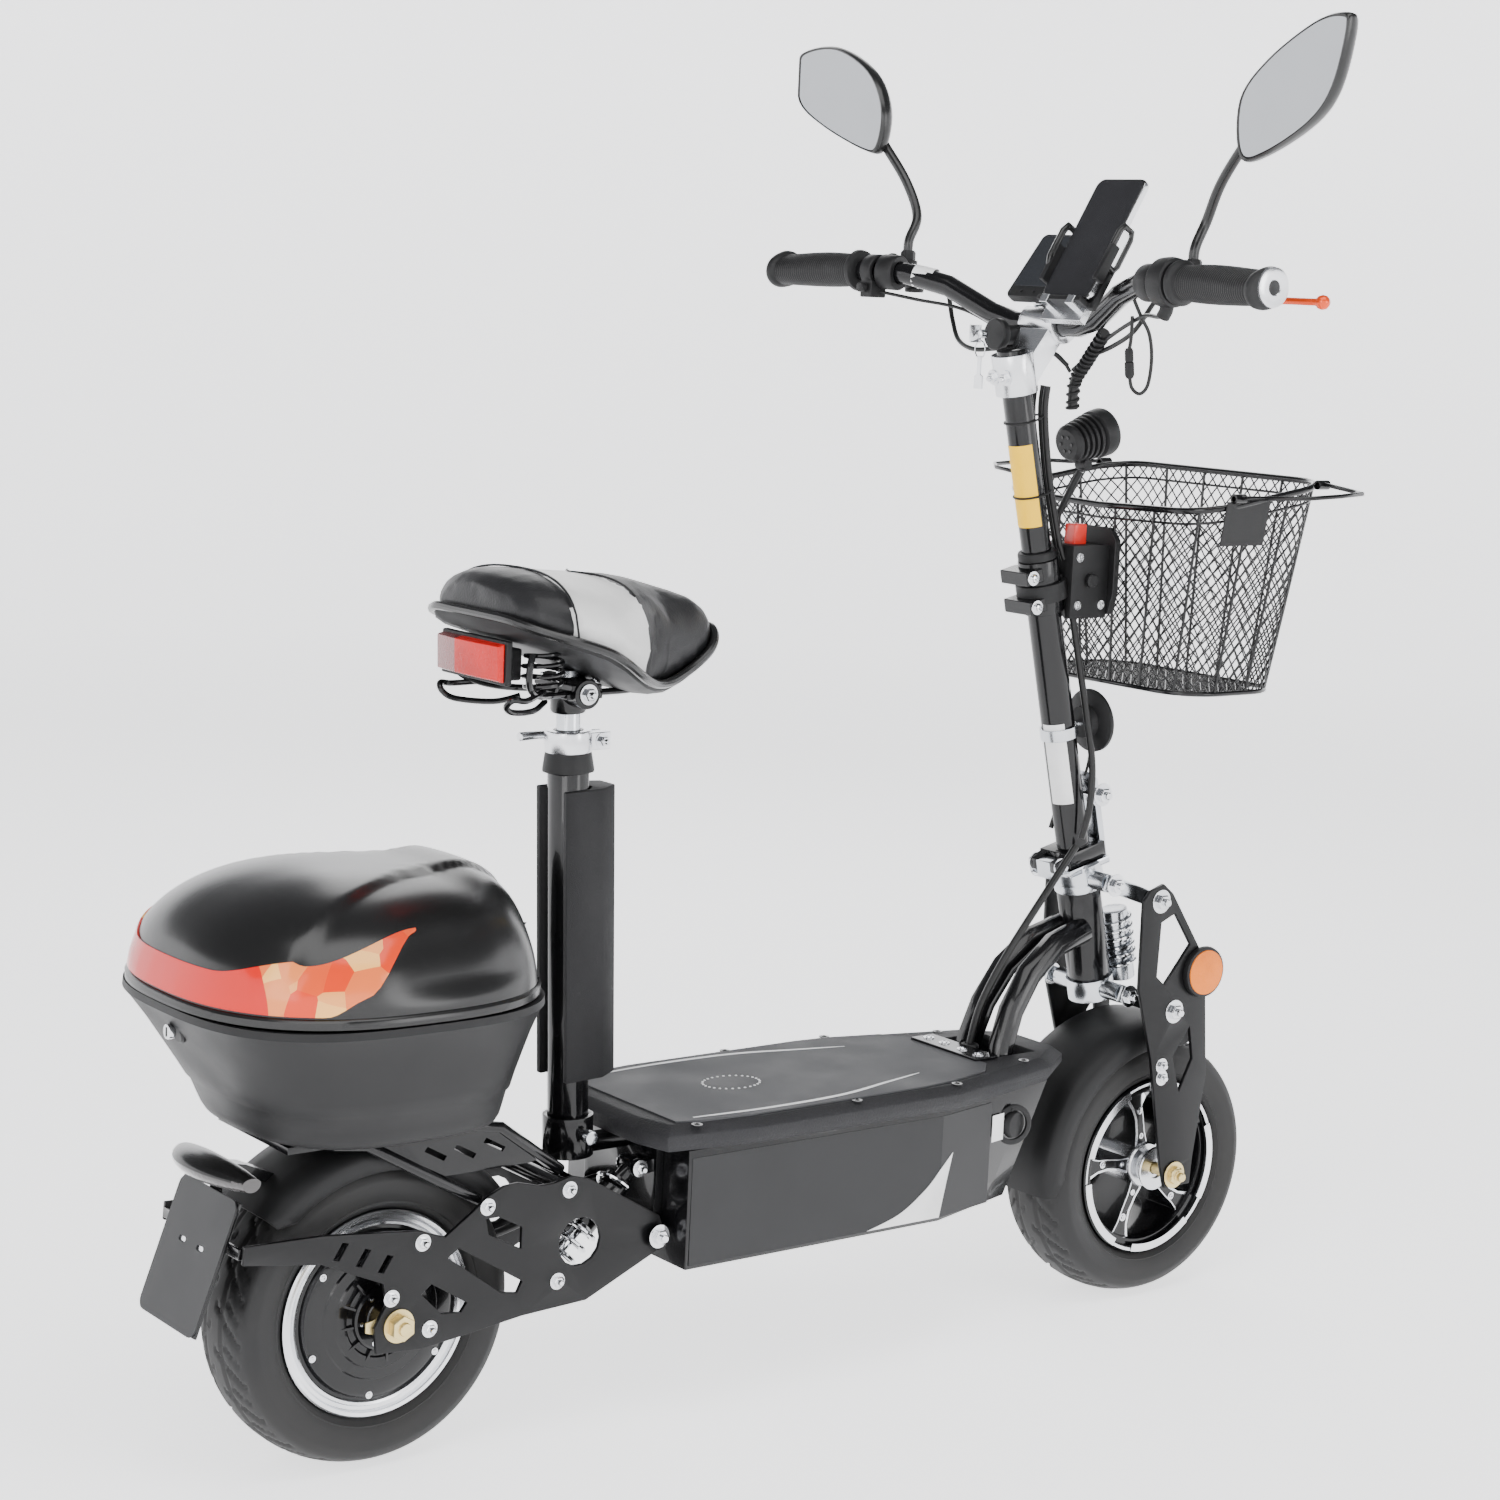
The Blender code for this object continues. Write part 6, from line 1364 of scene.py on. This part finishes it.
def ignition():
    barrel_at = Vector((0.713, 0.03, 1.0))
    body = lathe([(0.0, 0.03), (0.01, 0.03), (0.0105, 0.01), (0.015, 0.008), (0.016, 0.006), (0.016, 0.001),
        (0.0145, -0.0008), (0.005, -0.001)], barrel_at + Vector((0.0, 0, 0)), X, 36)
    strap = plate([(0.72, 1.004), (0.748, 1.009), (0.748, 0.999), (0.72, 0.996)], 0.022, 0.024)
    piece("ignition_barrel", body, MATTE, "bars", angle=30)
    piece("ignition_strap", strap, PAINT, "bars", bevel=0.0004)
    finish_node("ignition_key", CHROME, 0.0004, 30)
    hoop = [Vector((0.6955 + 0.001 * sin(2 * pi * k / 40), 0.03 + 0.0085 * sin(2 * pi * k / 40),
        0.985 + 0.0085 * cos(2 * pi * k / 40))) for k in range(40)]
    spare = plate([(-0.0025, 0.0), (0.0025, 0.0), (0.0025, -0.018), (0.006, -0.02), (0.006, -0.032),
        (-0.006, -0.032), (-0.006, -0.02), (-0.0025, -0.018)], -0.0008, 0.0008, place=lambda u, v,
        h: Vector((0.6955 + h, 0.03 + u, 0.9785 + v)))
    piece("key_ring", sweep(hoop, 0.0007, 6, True), CHROME, "key")
    piece("spare_key", spare, CHROME, "key", bevel=0.0003)
    finish_node("horn_button", RUBBER, 0.0004, 30)
    spot = Vector((0.7052, 0.208, 1.057))
    pod = merge(lathe([(0.0113, -0.008), (0.016, -0.008), (0.0168, -0.0065), (0.0168, 0.0065), (0.016, 0.008),
        (0.0113, 0.008)], spot, Y, 32, loop=True), box((0.692, 0.199, 1.03), (0.712, 0.217, 1.048)))
    piece("switch_pod", pod, MATTE, "bars", bevel=0.0014)


def bars():
    finish_node("handlebar", PAINT, 0.0004, 50)
    finish_node("handlebar_clamp", ALLOY, 0.0012)
    grip(1, "bars", "left_grip", False)
    grip(-1, "throttle", "throttle_grip", True)
    for side in (1, -1):
        perch(side)
    lever(1, "left_brake", "brake_lever_left", PAINT)
    lever(-1, "right_brake", "brake_lever_right", ORANGE)
    mirror(1, "left_mirror", "mirror_left", MIRROR_LEFT)
    mirror(-1, "right_mirror", "mirror_right", MIRROR_RIGHT)
    display()
    phone()
    ignition()
    label = hoop(0.01125, 0.01145, -0.011, 0.011, (0.724, 0.152, 1.052), Vector((-0.4, 0.9, 0.17)), 32)
    piece("bar_label", label, WHITE, "bars")
    heads = [bolt(steer(s, -0.0205, y), -Vector((STEER_FWD)), 0.005, 0.0044) for s,
        y in ((0.648, 0.008), (0.648, -0.01))]
    heads += [bolt((0.756, y, 1.0305), Z, 0.0044, 0.004, "socket") for y in (0.014, -0.014)]
    piece("clamp_bolts", merge(*heads), CHROME, "bars", bevel=0.0002)
    lamp()


def lamp():
    tail, nose = Vector((0.79, 0, 0.894)), Vector((0.842, 0, 0.908))
    axis = (nose - tail).normalized()
    profile = [(0.0, 0.0), (0.015, 0.0), (0.017, 0.0015)]
    for k in range(5):
        s = 0.0045 + 0.0062 * k
        r = 0.0188 + 0.001 * k
        profile += [(r, s), (r, s + 0.0032), (r - 0.0026, s + 0.0036), (r - 0.0026, s + 0.006)]
    profile += [(0.024, 0.037), (0.0245, 0.042), (0.0245, 0.05), (0.0235, 0.053), (0.0215, 0.0535),
        (0.0205, 0.05), (0.0, 0.049)]
    piece("headlamp_body", lathe(profile, tail, axis, 56), MATTE, "lamp", angle=28, stands=("headlamp",))
    lens = [(0.0, 0.05), (0.0205, 0.0502), (0.0205, 0.0516), (0.012, 0.0532), (0.0, 0.0536)]
    piece("headlamp_lens", lathe(lens, tail, axis, 48), CLEAR, "lamp")
    foot = sweep([Vector((0.815, 0, 0.882)), Vector((0.815, 0, 0.8745))], 0.0055, 14)
    hub = disc(0.0058, -0.007, 0.007, (0.815, 0, 0.874), Y, 20)
    piece("headlamp_foot", merge(foot, hub), MATTE, "lamp", bevel=0.0004)
    vents = []
    for k in range(6):
        a = radians(60 * k)
        _, side, other = frame_of(axis)
        vents.append(disc(0.0018, -0.0004, 0.0008, tail + (side * cos(a) + other * sin(a)) * 0.008, -axis,
            10))
    piece("headlamp_vents", merge(*vents), PAINT, "lamp")


# ---------------------------------------------------------------- cables
def spiral(points, radius, wire, turns):
    """A spiral wrap round a bundle."""
    line = curve(points, 10)
    out = []
    count = len(line) * 6
    for k in range(count + 1):
        position = (len(line) - 1) * k / count
        i = min(int(position), len(line) - 2)
        p = line[i].lerp(line[i + 1], position - i)
        _, side, other = frame_of((line[i + 1] - line[i]).normalized())
        a = 2 * pi * turns * k / count
        out.append(p + (side * cos(a) + other * sin(a)) * radius)
    return sweep(out, wire, 6)


def cables():
    def tube(name, points, radius, body, material=CABLE, per=8):
        return piece(name, sweep(curve(points, per), radius, 10), material, body, angle=80)
    tube("left_brake_cable", [(0.747, 0.166, 1.045), (0.752, 0.15, 1.04), (0.744, 0.13, 1.012),
        (0.732, 0.105, 0.992), (0.722, 0.07, 0.984), (0.727, 0.04, 0.986), (0.76, 0.012, 0.99),
        (0.782, -0.004, 0.972)], 0.0024, "bars")
    tube("right_brake_cable", [(0.747, -0.166, 1.045), (0.752, -0.15, 1.038), (0.762, -0.115, 1.01),
        (0.778, -0.07, 0.994), (0.786, -0.03, 0.982), (0.784, -0.01, 0.968)], 0.0024, "bars")
    tube("switch_wire", [(0.706, 0.2, 1.036), (0.724, 0.165, 1.03), (0.742, 0.11, 1.022), (0.76, 0.06, 1.0),
        (0.778, 0.012, 0.984), (0.786, -0.004, 0.966)], 0.0018, "bars")
    tube("throttle_wire", [(0.706, -0.212, 1.029), (0.72, -0.19, 1.025), (0.74, -0.15, 1.025),
        (0.76, -0.1, 1.012), (0.776, -0.055, 0.995), (0.788, -0.02, 0.976)], 0.0021, "bars")
    bundle = [(0.77, -0.066, 1.006), (0.778, -0.045, 0.99), (0.784, -0.026, 0.974), (0.785, -0.012, 0.956),
        (0.788, -0.008, 0.93)]
    tube("bundle_core", bundle, 0.0052, "bars")
    piece("bundle_wrap", spiral(bundle, 0.0056, 0.0017, 15), MATTE, "bars", angle=80)
    plug = [(0.744, -0.13, 1.024), (0.749, -0.125, 1.004), (0.752, -0.12, 0.991)]
    tube("plug_lead", plug, 0.0018, "bars")
    body = lathe([(0.0, 0.0), (0.003, 0.0002), (0.0042, 0.003), (0.0042, 0.012), (0.0036, 0.013),
        (0.0046, 0.014), (0.0046, 0.026), (0.003, 0.029), (0.0, 0.0292)], (0.7518, -0.12, 0.994),
        Vector((0.12, 0, -1)), 20)
    piece("plug_body", body, MATTE, "bars")
    tube("plug_loop", [(0.7552, -0.12, 0.966), (0.758, -0.121, 0.956), (0.764, -0.126, 0.951),
        (0.768, -0.132, 0.96), (0.765, -0.138, 0.985), (0.756, -0.142, 1.008), (0.742, -0.144, 1.024),
        (0.73, -0.144, 1.042)], 0.0018, "bars")
    for name, y, radius, f in (("main_lead", -0.009, 0.0034, 0.0225), ("brake_line_a", 0.0, 0.0024, 0.0245),
            ("brake_line_b", 0.008, 0.0024, 0.0225)):
        upper = [steer(0.628, f + 0.01, y), steer(0.6, f + 0.002, y), steer(0.54, f - 0.002, y),
            steer(0.48, f, y), steer(0.466, f + 0.001, y)]
        tube("%s_bars" % name, upper, radius, "bars")
        tube("%s_stem" % name, [steer(0.47, f + 0.001, y), steer(0.455, f + 0.004, y),
            steer(0.44, f + 0.01, y)], radius, "stem")
    hoops = []
    for s in (0.6, 0.525):
        path = [steer(s, 0.0265 * cos(a) if cos(a) > 0 else 0.016 * cos(a),
            0.016 * sin(a)) for a in [2 * pi * k / 40 for k in range(40)]]
        hoops.append(sweep(path, 0.0011, 6, True))
    piece("cable_ties", merge(*hoops), MATTE, "bars", angle=80)
    lower = [steer(0.4, 0.026, -0.012), steer(0.34, 0.024, -0.016), steer(0.29, 0.022, -0.02),
        steer(0.24, 0.016, -0.026), steer(0.2, 0.002, -0.03), steer(0.172, -0.014, -0.03)]
    tube("lower_lead", lower, 0.0036, "stem")
    tube("lower_lead_b", [p + Vector((0.004, 0.05, 0.002)) for p in lower], 0.0026, "stem")
    tube("deck_lead", [(0.808, -0.03, 0.49), (0.77, -0.03, 0.445), (0.734, -0.015, 0.38),
        (0.714, -0.004, 0.33), (0.706, 0.0, 0.29)], 0.0038, "chassis")
    tube("horn_wires", [(0.836, -0.004, 0.606), (0.838, -0.01, 0.59), (0.83, -0.018, 0.575),
        (0.824, -0.02, 0.56)], 0.0015, "stem")
    tube("rear_lead", [(0.282, 0.03, 0.205), (0.262, 0.036, 0.2), (0.236, 0.052, 0.176), (0.2, 0.06, 0.16),
        (0.14, 0.06, 0.15), (0.08, 0.06, 0.15), (0.03, 0.066, 0.152)], 0.004, "swingarm")


# ---------------------------------------------------------------- the whole scooter
def build_all():
    build_stage()
    tyre("rear_tyre_tread", 0.0, "rear_wheel", "rear_tyre")
    tyre("front_tyre_tread", WHEELBASE, "front_wheel_set", "front_tyre")
    rear_wheel()
    front_wheel()
    swingarm()
    fender("rear_mudguard", (0.0, WHEEL_R), 32, 138, 0.1575, 0.051, 0.024, "swingarm", "rear_fender", MATTE)
    fender("front_mudguard", (WHEELBASE, WHEEL_R), 72, 184, 0.158, 0.052, 0.024, "legs", "front_fender",
        MATTE)
    number_plate()
    top_case()
    saddle()
    deck()
    front_end()
    stem()
    basket()
    bars()
    cables()


build_all()
